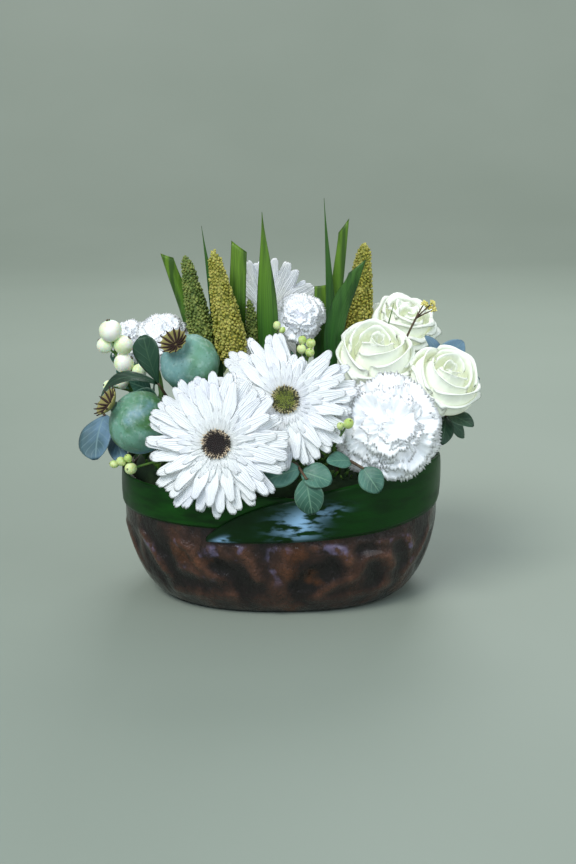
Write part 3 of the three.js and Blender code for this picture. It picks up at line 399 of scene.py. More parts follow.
class Finish(Wiring):
    """One material. Constant values go on the surface's own sockets."""

    def __init__(self, name, **constants):
        self.material = bpy.data.materials.new(name)
        self.material.use_nodes = True
        super().__init__(self.material.node_tree)
        self.surface = self.tree.nodes["Principled BSDF"].inputs
        for socket, value in constants.items():
            self.surface[socket.replace("_", " ")].default_value = value

    def value(self, name):
        return self.node("ShaderNodeAttribute", attribute_name=name).outputs["Fac"]

    def effect(self, made, **inputs):
        group = self.node("ShaderNodeGroup")
        group.node_tree = made.tree
        for socket, value in inputs.items():
            self.feed(group.inputs[socket], value)
        return group.outputs[0]

    def cloud(self, scale, detail, low, high, tall=1):
        """Patches, which are long upward where tall is small, and level where it is large."""
        return self.effect(MOTTLE, Scale=scale, Detail=detail, Low=low, High=high, Tall=tall)

    def blend(self, mask, under, over, most=None, mode="MIX"):
        """Lays one colour over another where the mask is, at most by a given share."""
        if most is not None:
            mask = self.times(mask, most)
        made = self.node("ShaderNodeMix", {0: mask}, data_type="RGBA", blend_type=mode)
        self.feed(made.inputs[6], under)
        self.feed(made.inputs[7], over)
        return made.outputs[2]

    def ramp(self, factor, *stops):
        made = self.node("ShaderNodeValToRGB", {"Fac": factor})
        elements = made.color_ramp.elements
        while len(elements) < len(stops):
            elements.new(0.5)
        for element, (position, colour) in zip(elements, stops):
            element.position = position
            element.color = (*colour, 1)
        return made.outputs["Color"]

    def bump(self, height, distance, strength, under=None):
        made = self.node("ShaderNodeBump", {"Height": height, "Distance": distance, "Strength": strength})
        if under is not None:
            self.feed(made.inputs["Normal"], under)
        return made.outputs["Normal"]

    def show(self, **sockets):
        for socket, value in sockets.items():
            self.feed(self.surface[socket.replace("_", " ")], value)
        return self.material


def mottle_effect():
    """Cloudy patches, as a mask."""
    made = Effect("mottle", "Mask", Scale=60, Detail=3, Low=0.4, High=0.6, Tall=1)
    scale, detail, low, high, tall = made.given[:5]
    squeeze = made.node("ShaderNodeCombineXYZ", {"X": 1.0, "Y": 1.0, "Z": tall}).outputs[0]
    spot = made.node("ShaderNodeVectorMath", {0: made.where(), 1: squeeze}, operation="MULTIPLY")
    inputs = {"Vector": spot.outputs[0], "Scale": scale, "Detail": detail}
    cloud = made.node("ShaderNodeTexNoise", inputs)
    return made.give(made.stretch(cloud.outputs["Fac"], low, high))


def rib_effect():
    """Fine ribs that run from root to tip, with a slow waver."""
    made = Effect("ribs", "Height", Across=0, Ribs=6, Waver=1)
    across, ribs, waver = made.given[:3]
    cloud = made.node("ShaderNodeTexNoise", {"Vector": made.where(), "Scale": 90.0, "Detail": 2.0})
    turn = made.maths("MULTIPLY_ADD", across, ribs, made.times(cloud.outputs["Fac"], waver))
    return made.give(made.scaled(made.maths("SINE", made.times(turn, pi)), 0.5, 0.5))


def vein_effect():
    """A midrib and side veins that slant towards the tip, as a mask."""
    made = Effect("veins", "Mask", Along=0, Across=0, Pairs=7, Slant=0.5, Width=0.12)
    along, across, pairs, slant, width = made.given[:5]
    side = made.maths("ABSOLUTE", across)
    midrib = made.stretch(side, 0.02, 0.08, 1.0, 0.0)
    slanted = made.maths("SUBTRACT", along, made.times(side, slant))
    place = made.maths("FRACT", made.scaled(slanted, pairs, 10.0))
    off = made.maths("ABSOLUTE", made.maths("SUBTRACT", place, 0.5))
    return made.give(made.maths("MAXIMUM", midrib, made.stretch(off, 0.0, width, 0.6, 0.0)))


def speck_effect():
    """Small round specks, as a mask."""
    made = Effect("specks", "Mask", Scale=900, Size=0.2)
    scale, size = made.given[:2]
    cells = made.node("ShaderNodeTexVoronoi", {"Vector": made.where(), "Scale": scale})
    return made.give(made.stretch(cells.outputs["Distance"], size, made.times(size, 1.4), 1.0, 0.0))


MOTTLE = mottle_effect()
RIBS = rib_effect()
VEINS = vein_effect()
SPECKS = speck_effect()


# ---- Finishes ----


def petal_finish(name, root, middle, edge, ribs, shade, painted_glow, painted_tip_glow=(0, 0, 0)):
    """Soft petals: tinted near the root, ribbed lengthwise and a little see-through. Painted shade lies
    in cloudy patches and in the rib grooves, and a painted glow, given off as emission, lightens
    their deep parts."""
    made = Finish(
        name, Roughness=0.55, Subsurface_Weight=0.25, Subsurface_Scale=0.005,
        Subsurface_Radius=(1.0, 0.9, 0.8), Emission_Strength=0.3,
    )
    along, across = made.value("along"), made.value("across")
    tint = made.ramp(along, (0.0, root), (0.32, middle), (1.0, edge))
    # The shade colour is painted shade, laid in cloudy patches.
    varied = made.blend(made.cloud(45, 3, 0.35, 0.75), tint, shade)
    height = made.effect(RIBS, Across=across, Ribs=ribs, Waver=1.6)
    # Painted shade in the rib grooves: the shade colour is multiplied in there.
    painted_groove_shade = made.stretch(height, 0.0, 0.4, 1.0, 0.0)
    colour = made.blend(painted_groove_shade, varied, made.blend(0.5, varied, shade, mode="MULTIPLY"), 0.3)
    # Painted glow: an emission from the root outward that lightens the deep, shaded parts of the petals.
    inner = made.ramp(along, (0.2, painted_glow), (0.85, painted_tip_glow))
    return made.show(Base_Color=colour, Normal=made.bump(height, 0.0005, 0.55), Emission_Color=inner)


def eye_finish(name, heart, ring, tips, specks):
    """Disc florets: a heart, a ring round it and pale tips at the rim, with painted shade at the florets'
    feet.
    """
    made = Finish(name, Roughness=0.75, Sheen_Weight=0.2)
    colour = made.ramp(made.value("across"), (0.0, heart), (0.45, heart), (0.66, ring), (0.86, tips))
    spotted = made.blend(made.stretch(made.value("chance"), 0.52, 0.58), colour, specks, 0.9)
    # Painted shade: each floret darkens towards its foot, where the florets crowd each other.
    deep = made.stretch(made.value("along"), 0.0, 0.7, 0.35, 1.0)
    florets_with_painted_shade = made.blend(deep, (0.012, 0.01, 0.006), spotted)
    return made.show(Base_Color=florets_with_painted_shade, Normal=made.bump(made.cloud(2500, 2, 0.3, 0.7), 0.0002, 0.4))


def leaf_finish(name, deep, face, pale, roughness, pairs, bloom):
    """Broad leaves with a midrib and side veins, and a waxy bloom in patches."""
    made = Finish(name, Specular_IOR_Level=0.45)
    across = made.value("across")
    veins = made.effect(VEINS, Along=made.value("along"), Across=across, Pairs=pairs, Slant=0.35)
    varied = made.blend(made.value("chance"), face, bloom, 0.8)
    patched = made.blend(made.cloud(38, 4, 0.38, 0.66), varied, deep)
    veined = made.blend(veins, patched, pale, 0.55)
    rim = made.stretch(made.maths("ABSOLUTE", across), 0.86, 1.0, 0.0, 0.6)
    fine = made.cloud(900, 2, 0.3, 0.7)
    return made.show(
        Base_Color=made.blend(rim, veined, pale),
        Roughness=made.scaled(fine, 0.16, roughness),
        Normal=made.bump(veins, 0.0003, 0.5, made.bump(fine, 0.00008, 0.4)),
    )


def strap_finish(name, deep, face, tip, ribs, roughness, gloss, ridge, streaks, painted_reflection_share=0.0):
    """Long straight-veined leaves: fine ribs of a given height and streaks of a given scale and
    height, with a painted pale-blue reflection of the sky, in streaks, where each point's third
    value and the given share allow."""
    made = Finish(name, Specular_IOR_Level=gloss)
    across = made.value("across")
    height = made.effect(RIBS, Across=across, Ribs=ribs, Waver=0.8)
    length = made.ramp(made.value("along"), (0.0, deep), (0.45, face), (1.0, tip))
    scale, tall = streaks
    streaked = made.blend(made.cloud(scale, 4, 0.4, 0.66, tall), length, deep, 0.75)
    lined = made.blend(made.stretch(height, 0.0, 0.5, 1.0, 0.0), streaked, deep, 0.22)
    rim = made.stretch(made.maths("ABSOLUTE", across), 0.93, 1.0, 0.0, 0.5)
    # Painted reflection of the sky: pale blue streaks where the third value allows.
    pale = made.times(made.value("chance"), made.cloud(60, 6, 0.43, 0.55, 3.4))
    return made.show(
        Base_Color=made.blend(pale, made.blend(rim, lined, tip), (0.3, 0.52, 0.76), painted_reflection_share),
        Roughness=made.scaled(made.cloud(55, 3, 0.3, 0.7), 0.14, roughness),
        Normal=made.bump(height, ridge, 0.5),
    )


def skin_finish(name, base, patch, other, roughness, scale, softness=0.1, specks=(0.05, 0.04, 0.02)):
    """Berries, buds, grains and stems: patched, faintly specked and varied piece by piece."""
    made = Finish(name, Subsurface_Weight=softness, Subsurface_Scale=0.002)
    patches = made.cloud(scale, 5, 0.42, 0.62)
    varied = made.blend(made.value("chance"), base, other, 0.7)
    patched = made.blend(patches, varied, patch, 0.75)
    clouded = made.blend(made.cloud(scale * 2.3, 5, 0.5, 0.68), patched, other, 0.6)
    dots = made.effect(SPECKS, Scale=scale * 14, Size=0.16)
    return made.show(
        Base_Color=made.blend(dots, clouded, specks, 0.3),
        Roughness=made.scaled(patches, 0.12, roughness),
        Normal=made.bump(made.cloud(scale * 20, 2, 0.3, 0.7), 0.00012, 0.4),
    )


def pod_finish():
    """Waxy poppy pods: teal, with a pale blue bloom, green patches low down and fine flecks."""
    made = Finish("pod_skin", Roughness=0.46, Subsurface_Weight=0.05, Subsurface_Scale=0.002)
    low = made.stretch(made.value("along"), 0.5, 0.75, 1.0, 0.35)
    green = made.times(made.cloud(34, 6, 0.4, 0.56), low)
    teal = made.blend(green, (0.15, 0.33, 0.25), (0.05, 0.16, 0.03), 0.9)
    bluer = made.scaled(made.value("chance"), 0.55, 0.35)
    bloomed = made.blend(made.cloud(22, 6, 0.44, 0.6), teal, (0.2, 0.35, 0.5), bluer)
    dust = made.cloud(300, 4, 0.5, 0.68)
    dusted = made.blend(dust, bloomed, (0.45, 0.6, 0.55), 0.25)
    flecked = made.blend(made.cloud(520, 3, 0.6, 0.68), dusted, (0.02, 0.08, 0.05), 0.4)
    return made.show(Base_Color=flecked, Normal=made.bump(dust, 0.0002, 0.4))


def crown_finish():
    """Dry crown of a pod: tan, with dark ridges on its rays."""
    made = Finish("dry_crown", Roughness=0.8)
    stops = (0.0, (0.07, 0.08, 0.015)), (0.5, (0.3, 0.28, 0.09)), (1.0, (0.16, 0.12, 0.04))
    tan_face = made.ramp(made.value("along"), *stops)
    return made.show(
        Base_Color=made.blend(made.value("chance"), tan_face, (0.03, 0.012, 0.007)),
        Normal=made.bump(made.cloud(1400, 2, 0.3, 0.7), 0.0002, 0.5),
    )


def carved_wood_finish():
    """Dark polished wood, its colour set by the carving's relief: warm where the carving stands proud and
    almost black in its hollows, which is painted shade, with a painted bluish highlight on the upper
    ridges.
    """
    made = Finish("carved_wood", Coat_Weight=0.4, Coat_Roughness=0.14, Specular_IOR_Level=0.22)
    relief = made.value("chance")
    streaks = made.cloud(90, 6, 0.35, 0.7, 0.3)
    chips = made.cloud(62, 5, 0.28, 0.72, 0.7)
    folds = made.maths("FRACT", made.times(made.cloud(46, 3, 0.2, 0.8, 0.6), 7.0))
    cuts = made.stretch(made.maths("ABSOLUTE", made.maths("SUBTRACT", folds, 0.5)), 0.0, 0.16, 1.0, 0.0)
    broken = made.scaled(chips, 0.34, made.maths("SUBTRACT", relief, 0.17))
    # Painted shade: the ramp darkens the wood from the carving's ridges down into its hollows.
    wood = made.ramp(
        broken, (0.15, (0.002, 0.0015, 0.0015)), (0.42, (0.008, 0.004, 0.004)),
        (0.54, (0.03, 0.013, 0.009)), (0.9, (0.105, 0.044, 0.025)),
    )
    wood = made.blend(streaks, wood, (0.01, 0.005, 0.005), 0.6)
    wood = made.blend(cuts, wood, (0.008, 0.004, 0.005), 0.25)
    wood = made.blend(made.cloud(30, 5, 0.56, 0.68), wood, (0.16, 0.05, 0.012), 0.35)
    # Painted highlight: a bluish reflection laid on the proud ridges of the carving's upper part.
    proud = made.times(made.stretch(relief, 0.5, 0.7), made.stretch(made.value("along"), 0.3, 0.6))
    painted_highlight = made.times(made.cloud(85, 6, 0.54, 0.64, 0.7), proud)
    scored = made.bump(made.maths("SUBTRACT", 1.0, cuts), 0.0012, 0.25, made.bump(chips, 0.004, 0.9))
    rough = made.bump(streaks, 0.0005, 0.35, scored)
    return made.show(
        Base_Color=made.blend(painted_highlight, wood, (0.17, 0.15, 0.27), 0.55),
        Roughness=made.scaled(streaks, 0.2, 0.26),
        Normal=made.bump(made.cloud(700, 2, 0.3, 0.7, 0.25), 0.0002, 0.35, rough),
    )


def floor_finish():
    made = Finish("pale_floor", Roughness=0.6)
    patches = made.cloud(3, 2, 0.2, 0.8)
    return made.show(Base_Color=made.blend(patches, (0.235, 0.277, 0.234), (0.25, 0.292, 0.249)))


# The last one or two colours of each petal finish are its painted glow, near the root and towards the tip.
WHITE_PETAL = petal_finish(
    "white_petal", (0.72, 0.8, 0.64), (0.9, 0.94, 0.94), (0.95, 0.97, 0.98), 7.0,
    (0.86, 0.89, 0.96), (0.4, 0.42, 0.43),
)
RUFFLED_PETAL = petal_finish(
    "ruffled_petal", (0.76, 0.82, 0.7), (0.9, 0.94, 0.95), (0.95, 0.97, 0.98), 9.0,
    (0.88, 0.91, 0.97), (1.0, 1.0, 1.0), (0.22, 0.24, 0.25),
)
CREAM_PETAL = petal_finish(
    "cream_petal", (0.68, 0.74, 0.4), (0.92, 0.95, 0.85), (0.92, 0.95, 0.88), 6.0,
    (0.92, 0.95, 0.86), (0.55, 0.6, 0.42), (0.1, 0.12, 0.09),
)
EYES = {
    "dark_eye": eye_finish(
        "dark_eye", (0.014, 0.005, 0.004), (0.03, 0.011, 0.007), (0.78, 0.64, 0.46), (0.008, 0.004, 0.003)
    ),
    "green_eye": eye_finish(
        "green_eye", (0.2, 0.25, 0.03), (0.3, 0.32, 0.05), (0.6, 0.52, 0.3), (0.02, 0.02, 0.01)
    ),
}
EUCALYPTUS = leaf_finish(
    "eucalyptus_leaf", (0.012, 0.055, 0.035), (0.04, 0.135, 0.09), (0.17, 0.32, 0.22), 0.4, 6,
    (0.08, 0.21, 0.17),
)
DARK_LEAF = leaf_finish(
    "dark_eucalyptus_leaf", (0.006, 0.028, 0.014), (0.015, 0.06, 0.03), (0.06, 0.13, 0.07), 0.38, 5,
    (0.03, 0.08, 0.055),
)
BLUE_LEAF = leaf_finish(
    "blue_eucalyptus_leaf", (0.05, 0.11, 0.13), (0.11, 0.21, 0.28), (0.2, 0.32, 0.34), 0.45, 6,
    (0.14, 0.24, 0.36),
)
BLADE_LEAF = strap_finish(
    "blade_leaf", (0.005, 0.035, 0.004), (0.028, 0.12, 0.008), (0.15, 0.29, 0.02), 9,
    0.4, 0.4, 0.0002, (240, 0.05),
)
DARK_BLADE = strap_finish(
    "dark_blade_leaf", (0.005, 0.035, 0.004), (0.012, 0.08, 0.006), (0.05, 0.14, 0.02), 9,
    0.4, 0.4, 0.0002, (240, 0.05),
)
# The last value lets the painted sky reflection show in full where a leaf carries it.
WRAP_LEAF = strap_finish(
    "wrap_leaf", (0.002, 0.02, 0.002), (0.003, 0.04, 0.003), (0.01, 0.085, 0.006), 30,
    0.3, 0.18, 0.00006, (40, 5.0), 1.0,
)
GREEN_STEM = skin_finish(
    "green_stem", (0.07, 0.18, 0.025), (0.035, 0.1, 0.015), (0.13, 0.24, 0.04), 0.45, 90
)
BROWN_TWIG = skin_finish(
    "brown_twig", (0.08, 0.035, 0.02), (0.04, 0.02, 0.015), (0.1, 0.09, 0.04), 0.6, 120
)
POD_SKIN = pod_finish()
GRAINS = {
    "yellow_grain": skin_finish(
        "yellow_grain", (0.37, 0.35, 0.045), (0.5, 0.47, 0.12), (0.16, 0.18, 0.02), 0.6, 160
    ),
    "green_grain": skin_finish(
        "green_grain", (0.14, 0.2, 0.03), (0.28, 0.33, 0.08), (0.06, 0.11, 0.015), 0.6, 160
    ),
}
SNOWBERRY = skin_finish(
    "snowberry", (0.93, 0.95, 0.86), (0.95, 0.96, 0.92), (0.66, 0.8, 0.34), 0.4, 60, 0.3, (0.7, 0.74, 0.55)
)
BUD = skin_finish("lime_bud", (0.5, 0.65, 0.17), (0.34, 0.5, 0.09), (0.74, 0.82, 0.46), 0.5, 120, 0.2)
TUFT = skin_finish("pale_tuft", (0.76, 0.68, 0.2), (0.86, 0.8, 0.36), (0.6, 0.52, 0.1), 0.8, 200)
MOSS = skin_finish(
    "green_foam", (0.01, 0.03, 0.006), (0.006, 0.02, 0.004), (0.02, 0.05, 0.01), 0.85, 70, 0.0
)
DRY_CROWN = crown_finish()
CARVED_WOOD = carved_wood_finish()


# ---- The oval bowl and its carving ----


def bowl_half_width(height):
    share = min(max(height / BELLY_HEIGHT, 0), 1)
    return mix(BASE_HALF_WIDTH, BOWL_HALF_WIDTH, sqrt(1 - (1 - share) ** BELLY_CURVE))


def oval_point(half_width, angle, height, outward=0.0):
    power = 2 / OVAL_POWER
    c, s = cos(angle), sin(angle)
    x = (half_width + outward) * copysign(abs(c) ** power, c)
    y = (half_width * DEPTH_RATIO + outward) * copysign(abs(s) ** power, s)
    return Vector((x, y, height))


def oval(count, half_width, height, outward):
    return [oval_point(half_width, angle, height, outward) for angle in turns(count)]


# Ridges and hollows of the carved leaf scrolls on one half of the bowl, repeated on the other
# half: the points of a line as (degrees round from the middle of the half, height), its breadth
# and how far it rises, from -1 to 1.
STROKES = [
    ([(-0.5, 57), (-0.8, 8)], 4, 0.6),
    ([(-36, 57), (-31, 50), (-27, 40), (-22, 31)], 3.6, 0.9),
    ([(-38, 35), (-30, 33), (-26, 29)], 5, 0.5),
    ([(-43, 43), (-41, 35)], 6, -0.85),
    ([(-37, 25), (-28, 24)], 5.5, -0.8),
    ([(-16, 57), (-12, 54), (-8.5, 45), (-6, 30)], 3.4, 0.85),
    ([(-21, 50), (-15, 47)], 5, 0.6),
    ([(-18, 39), (-13, 32), (-11, 24)], 6, -0.9),
    ([(-58, 56), (-52, 46), (-47, 30)], 4, 0.7),
    ([(-57, 36), (-51, 22)], 5.5, -0.7),
    ([(-44, 14), (-28, 14), (-15, 17)], 4, 0.45),
    ([(-78, 54), (-71, 42), (-64, 24)], 4.5, 0.5),
    ([(-72, 52), (-65, 44)], 5, -0.5),
    ([(9, 57), (14, 55), (18, 50), (22, 42)], 4, 0.9),
    ([(5, 24), (9, 33), (16, 39)], 7, -0.95),
    ([(11, 16), (18, 26), (25, 30), (28, 36)], 4, 0.75),
    ([(28, 43), (34, 44), (39, 42), (43, 34)], 3.8, 0.85),
    ([(26, 50), (33, 50)], 4.5, -0.6),
    ([(32, 35), (37, 25)], 5.5, -0.75),
    ([(34, 54), (41, 57), (48, 55), (52, 45)], 3.8, 0.75),
    ([(44, 48), (49, 36)], 5, -0.6),
    ([(15, 13), (28, 15), (44, 19)], 4, 0.45),
    ([(66, 54), (60, 38), (53, 26)], 4.5, 0.55),
    ([(72, 44), (66, 28)], 6, -0.6),
    ([(90, 57), (90, 10)], 5, 0.35),
    ([(-90, 57), (-90, 10)], 5, 0.35),
]
DEGREE_LENGTH = 1.7  # one degree round the belly
BOWL_SIDES = 360
RIM_ROUNDING = 1.2


def off_line(x, y, line):
    """How far a place is from a line of points."""
    best = inf
    for (ax, ay), (bx, by) in zip(line, line[1:]):
        ahead, up = bx - ax, by - ay
        share = ((x - ax) * ahead + (y - ay) * up) / (ahead**2 + up**2)
        share = min(max(share, 0), 1)
        best = min(best, hypot(x - ax - share * ahead, y - ay - share * up))
    return best


CARVED_LINES = [
    ([(across * DEGREE_LENGTH, height) for across, height in line], breadth, rise)
    for line, breadth, rise in STROKES
]


def carving(angle, height):
    """From -1 in a hollow to 1 on a ridge, smooth at the base and below the wrapped leaves."""
    across = (degrees(angle) + 90) % 180
    x = (across - 180 if across > 90 else across) * DEGREE_LENGTH
    proud = 0.0
    for line, breadth, rise in CARVED_LINES:
        proud += rise * exp(-((off_line(x, height, line) / breadth) ** 2))
    tall = height / BELLY_HEIGHT
    fade = smooth(0.02, 0.16, tall) * (1 - smooth(0.9, 1, tall))
    return min(max(proud, -1), 1) * fade


def build_bowl():
    skin = Skin()
    carved = [mix(2.5, BELLY_HEIGHT, t) for t in shares(44)]
    heights = [0, 0.6, 1.4, *carved, 66, 78, BOWL_HEIGHT - RIM_ROUNDING]
    rings, shades = [], []
    for height in heights:
        half = bowl_half_width(height)
        rings.append([])
        for angle in turns(BOWL_SIDES):
            proud = carving(angle, height)
            rings[-1].append(oval_point(half, angle, height, proud * CARVING_DEPTH))
            shades.append(0.5 + 0.45 * proud)
    for inset in (RIM_ROUNDING, WALL / 2, WALL - RIM_ROUNDING):
        rings.append(oval(BOWL_SIDES, BOWL_HALF_WIDTH, BOWL_HEIGHT, -inset))
    for height in (BOWL_HEIGHT - 1.5, 70, BELLY_HEIGHT + FLOOR, 40, 22, 12, FLOOR):
        rings.append(oval(BOWL_SIDES, bowl_half_width(height - FLOOR), height, -WALL))
    skin.loft(rings, 0.5, 0, (Vector(), Vector((0, 0, FLOOR))))
    # The third value of each carved point is its relief, which the wood finish turns into painted shade in
    # the hollows and a painted highlight on the upper ridges.
    for number, shade in enumerate(shades, 1):
        skin.values[number] = (*skin.values[number][:2], shade)
    skin.build("carved_bowl", [CARVED_WOOD], "bowl", "carved_wood")


# ---- The long leaves wrapped round the bowl ----

LAP = 1.8  # how much further off the bowl a leaf stands where it lies over another
ROUND = 48  # the parts of a round in which the ends of a leaf are given
WRAPS = {
    # ends, then the low edge, the high edge and the distance off the bowl at a share of the length
    "wrap_leaf_right": (
        (33, 55),
        lambda s: 57.5 + 11.5 * smooth(0, 0.75, s),
        lambda s: 61 + 43 * (1 - exp(-s / 0.15)) * (1 - 0.72 * smooth(0.55, 1, s)),
        lambda s: LAP * (1 - smooth(0.32, 0.45, s)) + LAP * smooth(0.76, 0.88, s),
    ),
    "wrap_leaf_left": (
        (17, 39),
        lambda s: 66.5,
        lambda s: 72 + 21 * smooth(0, 0.25, s) - 4 * s - 16 * smooth(0.86, 1, s),
        lambda s: LAP * (1 - smooth(0.155, 0.28, s)),
    ),
    "wrap_leaf_back": (
        (5, 20),
        lambda s: 66,
        lambda s: 70 + 25 * sin(pi * mix(0.06, 0.94, s)) ** 0.5,
        lambda s: 0.0,
    ),
}


def hump(value, middle, breadth):
    return ((value - middle) / breadth) ** 2


def painted_sky_reflection(along, across):
    """Where a painted reflection of the sky lies pale on the front leaf's face, from its tip onward."""
    middle = exp(-hump(along, 0.165, 0.032) - hump(across, -0.2, 0.6))
    tip = exp(-hump(along, 0.036, 0.018) - hump(across, -0.65, 0.35))
    streak = 0.6 * exp(-hump(along, 0.215, 0.03) - hump(across, 0.15, 0.2))
    return min(middle + tip + streak, 1.0)


def build_wraps():
    for name, ((first, last), low_at, high_at, off_at) in WRAPS.items():
        lean = random.Random(name).random() * 6

        def spot(share, side):
            low, high = low_at(share), high_at(share)
            off = off_at(share) + LEAF_OFF_BOWL + WRAP_THICKNESS / 2
            crown = 0.7 * sin(pi * side)
            wave = 0.25 * sin(share * 17 + side * 2.5 + lean) * (high - low) / 40
            angle = tau * mix(first, last, share) / ROUND
            return oval_point(BOWL_HALF_WIDTH, angle, mix(low, high, side), off + crown + wave)

        skin = Skin()
        skin.sheet(grid(spot, shares(150), shares(14)), WRAP_THICKNESS, 0.0)
        # The front leaf's third values carry its painted reflection of the sky.
        if name == "wrap_leaf_right":
            skin.values = [(along, across, painted_sky_reflection(along, across)) for along, across, _ in skin.values]
        skin.build(f"{name}_glossy", [WRAP_LEAF], name, "wrap_leaf")


# ---- What several blooms and sprays share ----


def head(name, at, look, roll=0):
    """The draws of a bloom or pod, the direction it looks in and its placement."""
    axis = facing(*look)
    return random.Random(name), axis, placement(at, axis, roll)


def whorl(chance, count, first, uneven):
    """Angles round a circle from the first, each a little off its even place."""
    for k in range(count):
        yield first + tau * (k + swing(chance, uneven)) / count


def twig_skin(name, entry, stops, radii=(1.4, 0.9), finish=1):
    """The draws of a spray, its skin with the twig, and the route of the twig."""
    skin = Skin()
    return random.Random(name), skin, skin.twig(entry, stops, radii, finish)


def add_sepals(skin, chance, count, first, steps, columns, foot, tip, half):
    """Narrow green leaves under a bloom, from a foot to a tip given as (reach, height). A function
    gives their half width at a share of their length."""
    for k in range(count):
        angle = tau * (k + first) / count

        def spot(t, side):
            middle = polar(angle, mix(foot[0], tip[0], t), mix(foot[1], tip[1], t))
            return middle + beside(angle) * (half(t) * side)

        skin.sheet(grid(spot, shares(steps), spans(columns)), SEPAL_THICKNESS, chance.random())


# ---- Gerberas ----

GERBERA_WHORLS = [
    # petals, reach, width over reach, lift, droop, height
    (25, 1.0, 0.225, 1, 0.05, -1.8),
    (23, 0.95, 0.215, 6, 0.08, -0.6),
    (18, 0.84, 0.2, 11, 0.12, 0.6),
    (26, 0.52, 0.1, 18, 0.2, 1.4),
    (34, 0.35, 0.05, 24, 0.2, 1.8),
]
GERBERA_CUP = [
    (1.2, -12.5), (3.3, -11), (5.5, -7.5), (7.6, -4.4), (8.6, -2.6), (8.2, -1.4), (7, 1.6), (6.4, 2.2),
]
EYE_DOME = [(0.6, 2.7), (0.96, 3), (0.9, 3.9), (0.6, 4.2), (0.3, 4.0)]
FLORETS = 210
GAP_HALF = 17  # degrees to each side of a gap
GERBERA_STEM_TOP = -10
# Over the radius of the bloom:
EYE_RADIUS = 0.2
GAP_REACH = 0.64
PETAL_FOOT = 0.14


def gerbera_petal(skin, chance, angle, inner, outer, width, lift, droop):
    """A long ribbed petal with a rounded, slightly notched tip, one side over its neighbour."""
    length = (outer - inner) * (1 + swing(chance, 0.06))
    sway, twist = swing(chance, 0.09), 0.14 + swing(chance, 0.22)
    rise = tan(radians(lift + swing(chance, 3)))
    notch, lean = between(chance, 0.0, 0.035), swing(chance, 0.03)
    rounding = 0.5 * width / length * between(chance, 1.1, 1.9)

    def spot(t, side):
        half = width / 2 * mix(0.4, 1, smooth(0, 0.6, t)) * (1 - 0.34 * smooth(0.6, 1, t))
        tip = rounding * (1 - sqrt(1 - 0.98 * side * side)) + lean * side
        tip += notch * exp(-((side / 0.16) ** 2))
        reach = inner + length * (t - tip * smooth(0.45, 1, t))
        channel = 0.16 * side * side + 0.06 * cos(side * pi * 3) + twist * side
        height = rise * (reach - inner) - droop * t * t * length + channel * half
        swept = angle + sway * t * t
        return polar(swept, reach, height) + beside(swept) * (side * half)

    lengths = [1 - (1 - share) ** 1.3 for share in shares(11)]
    skin.sheet(grid(spot, lengths, spans(10)), PETAL_THICKNESS, chance.random())


def build_eye(name, chance, place, radius, slot):
    """A dome packed with florets in a spiral. Their across value is their share of its radius."""
    eye = Skin(place)
    eye.loft([circle(30, share * radius, z) for share, z in EYE_DOME], 0.5)
    eye.values = [(along, 0.3, shade) for along, _, shade in eye.values]
    for n in range(FLORETS):
        share = sqrt((n + 0.5) / FLORETS)
        outward = polar(n * GOLDEN_ANGLE, 1, 0)
        dome = 4.1 + 0.6 * smooth(0.1, 0.7, share) - 0.6 * smooth(0.75, 1, share)
        tall = mix(1.0, 2.1, smooth(0.5, 0.95, share)) * between(chance, 0.8, 1.2)
        lean = outward * (0.1 + 0.75 * share**3) + Vector((swing(chance, 0.2), swing(chance, 0.2), 0))
        centre = outward * (share * radius * 0.95) + UP * dome
        before = len(eye.values)
        axis = (UP + lean).normalized()
        eye.ball(centre, mix(0.42, 0.5, share), chance.random(), axis, tall / 0.5, 5, 5)
        eye.values[before:] = [(along, share, shade) for along, _, shade in eye.values[before:]]
    eye.build(f"{name}_florets", [EYES[slot]], f"{name}_eye", slot)


def build_gerbera(name, at, look, roll, radius, entry, stem, eye, slack=0.4, gap=inf):
    """One bloom. At the angle of its gap the petals are short, where the buds come through."""
    chance, axis, place = head(name, at, look, roll)
    skin = Skin()
    for count, reach, width, lift, droop, height in GERBERA_WHORLS:
        skin.place = place @ raised(height)
        for angle in whorl(chance, count, chance.random() * 2, 0.16):
            inside = abs(degrees(angle) % 360 - gap) < GAP_HALF
            tip = radius * (min(reach, GAP_REACH) if inside else reach)
            gerbera_petal(skin, chance, angle, radius * PETAL_FOOT, tip, radius * width, lift, droop)
    skin.build(f"{name}_petals", [WHITE_PETAL], name, "white_petal")

    green = Skin(place)
    green.turned(GERBERA_CUP, 24)
    foot, tip = (4.4, -9.8), (10, -2.2)
    add_sepals(green, chance, 26, 0, 4, 2, foot, tip, lambda t: 1.1 * (1 - t * t) + 0.12)
    green.stem(entry, Vector(at) + axis * GERBERA_STEM_TOP, axis, stem, 12, slack=slack)
    green.build(f"{name}_stem", [GREEN_STEM], name, "white_petal")
    build_eye(name, chance, place, radius * EYE_RADIUS, eye)


def build_gerberas():
    build_gerbera("gerbera_left", (-40, -98, 130), (-6, 14), 0, 47.5, (-34, -46), 3, "dark_eye")
    build_gerbera("gerbera_right", (3, -78, 153.5), (2, 20), 7, 46.5, (3, -36), 3, "green_eye", gap=62)
    build_gerbera("gerbera_back", (-8, 40, 189), (176, 8), 3, 41, (-6, 26), 2.8, "dark_eye", 0.3)


# ---- Carnations ----

CARNATION_WHORLS = [
    # petals, bend in degrees, reach over the radius
    (10, 99, 1.0),
    (10, 83, 1.04),
    (10, 67, 1.06),
    (9, 51, 1.06),
    (8, 36, 1.04),
    (6, 21, 1.02),
    (4, 7, 0.98),
]
CARNATION_CUP = [(0.06, -0.97), (0.13, -0.93), (0.2, -0.8), (0.22, -0.6), (0.24, -0.42), (0.16, -0.38)]
CARNATION_STEM = 2
CARNATION_HEART = -0.42  # over the radius, as is the next
STEM_TOP = -0.9  # of carnations and roses


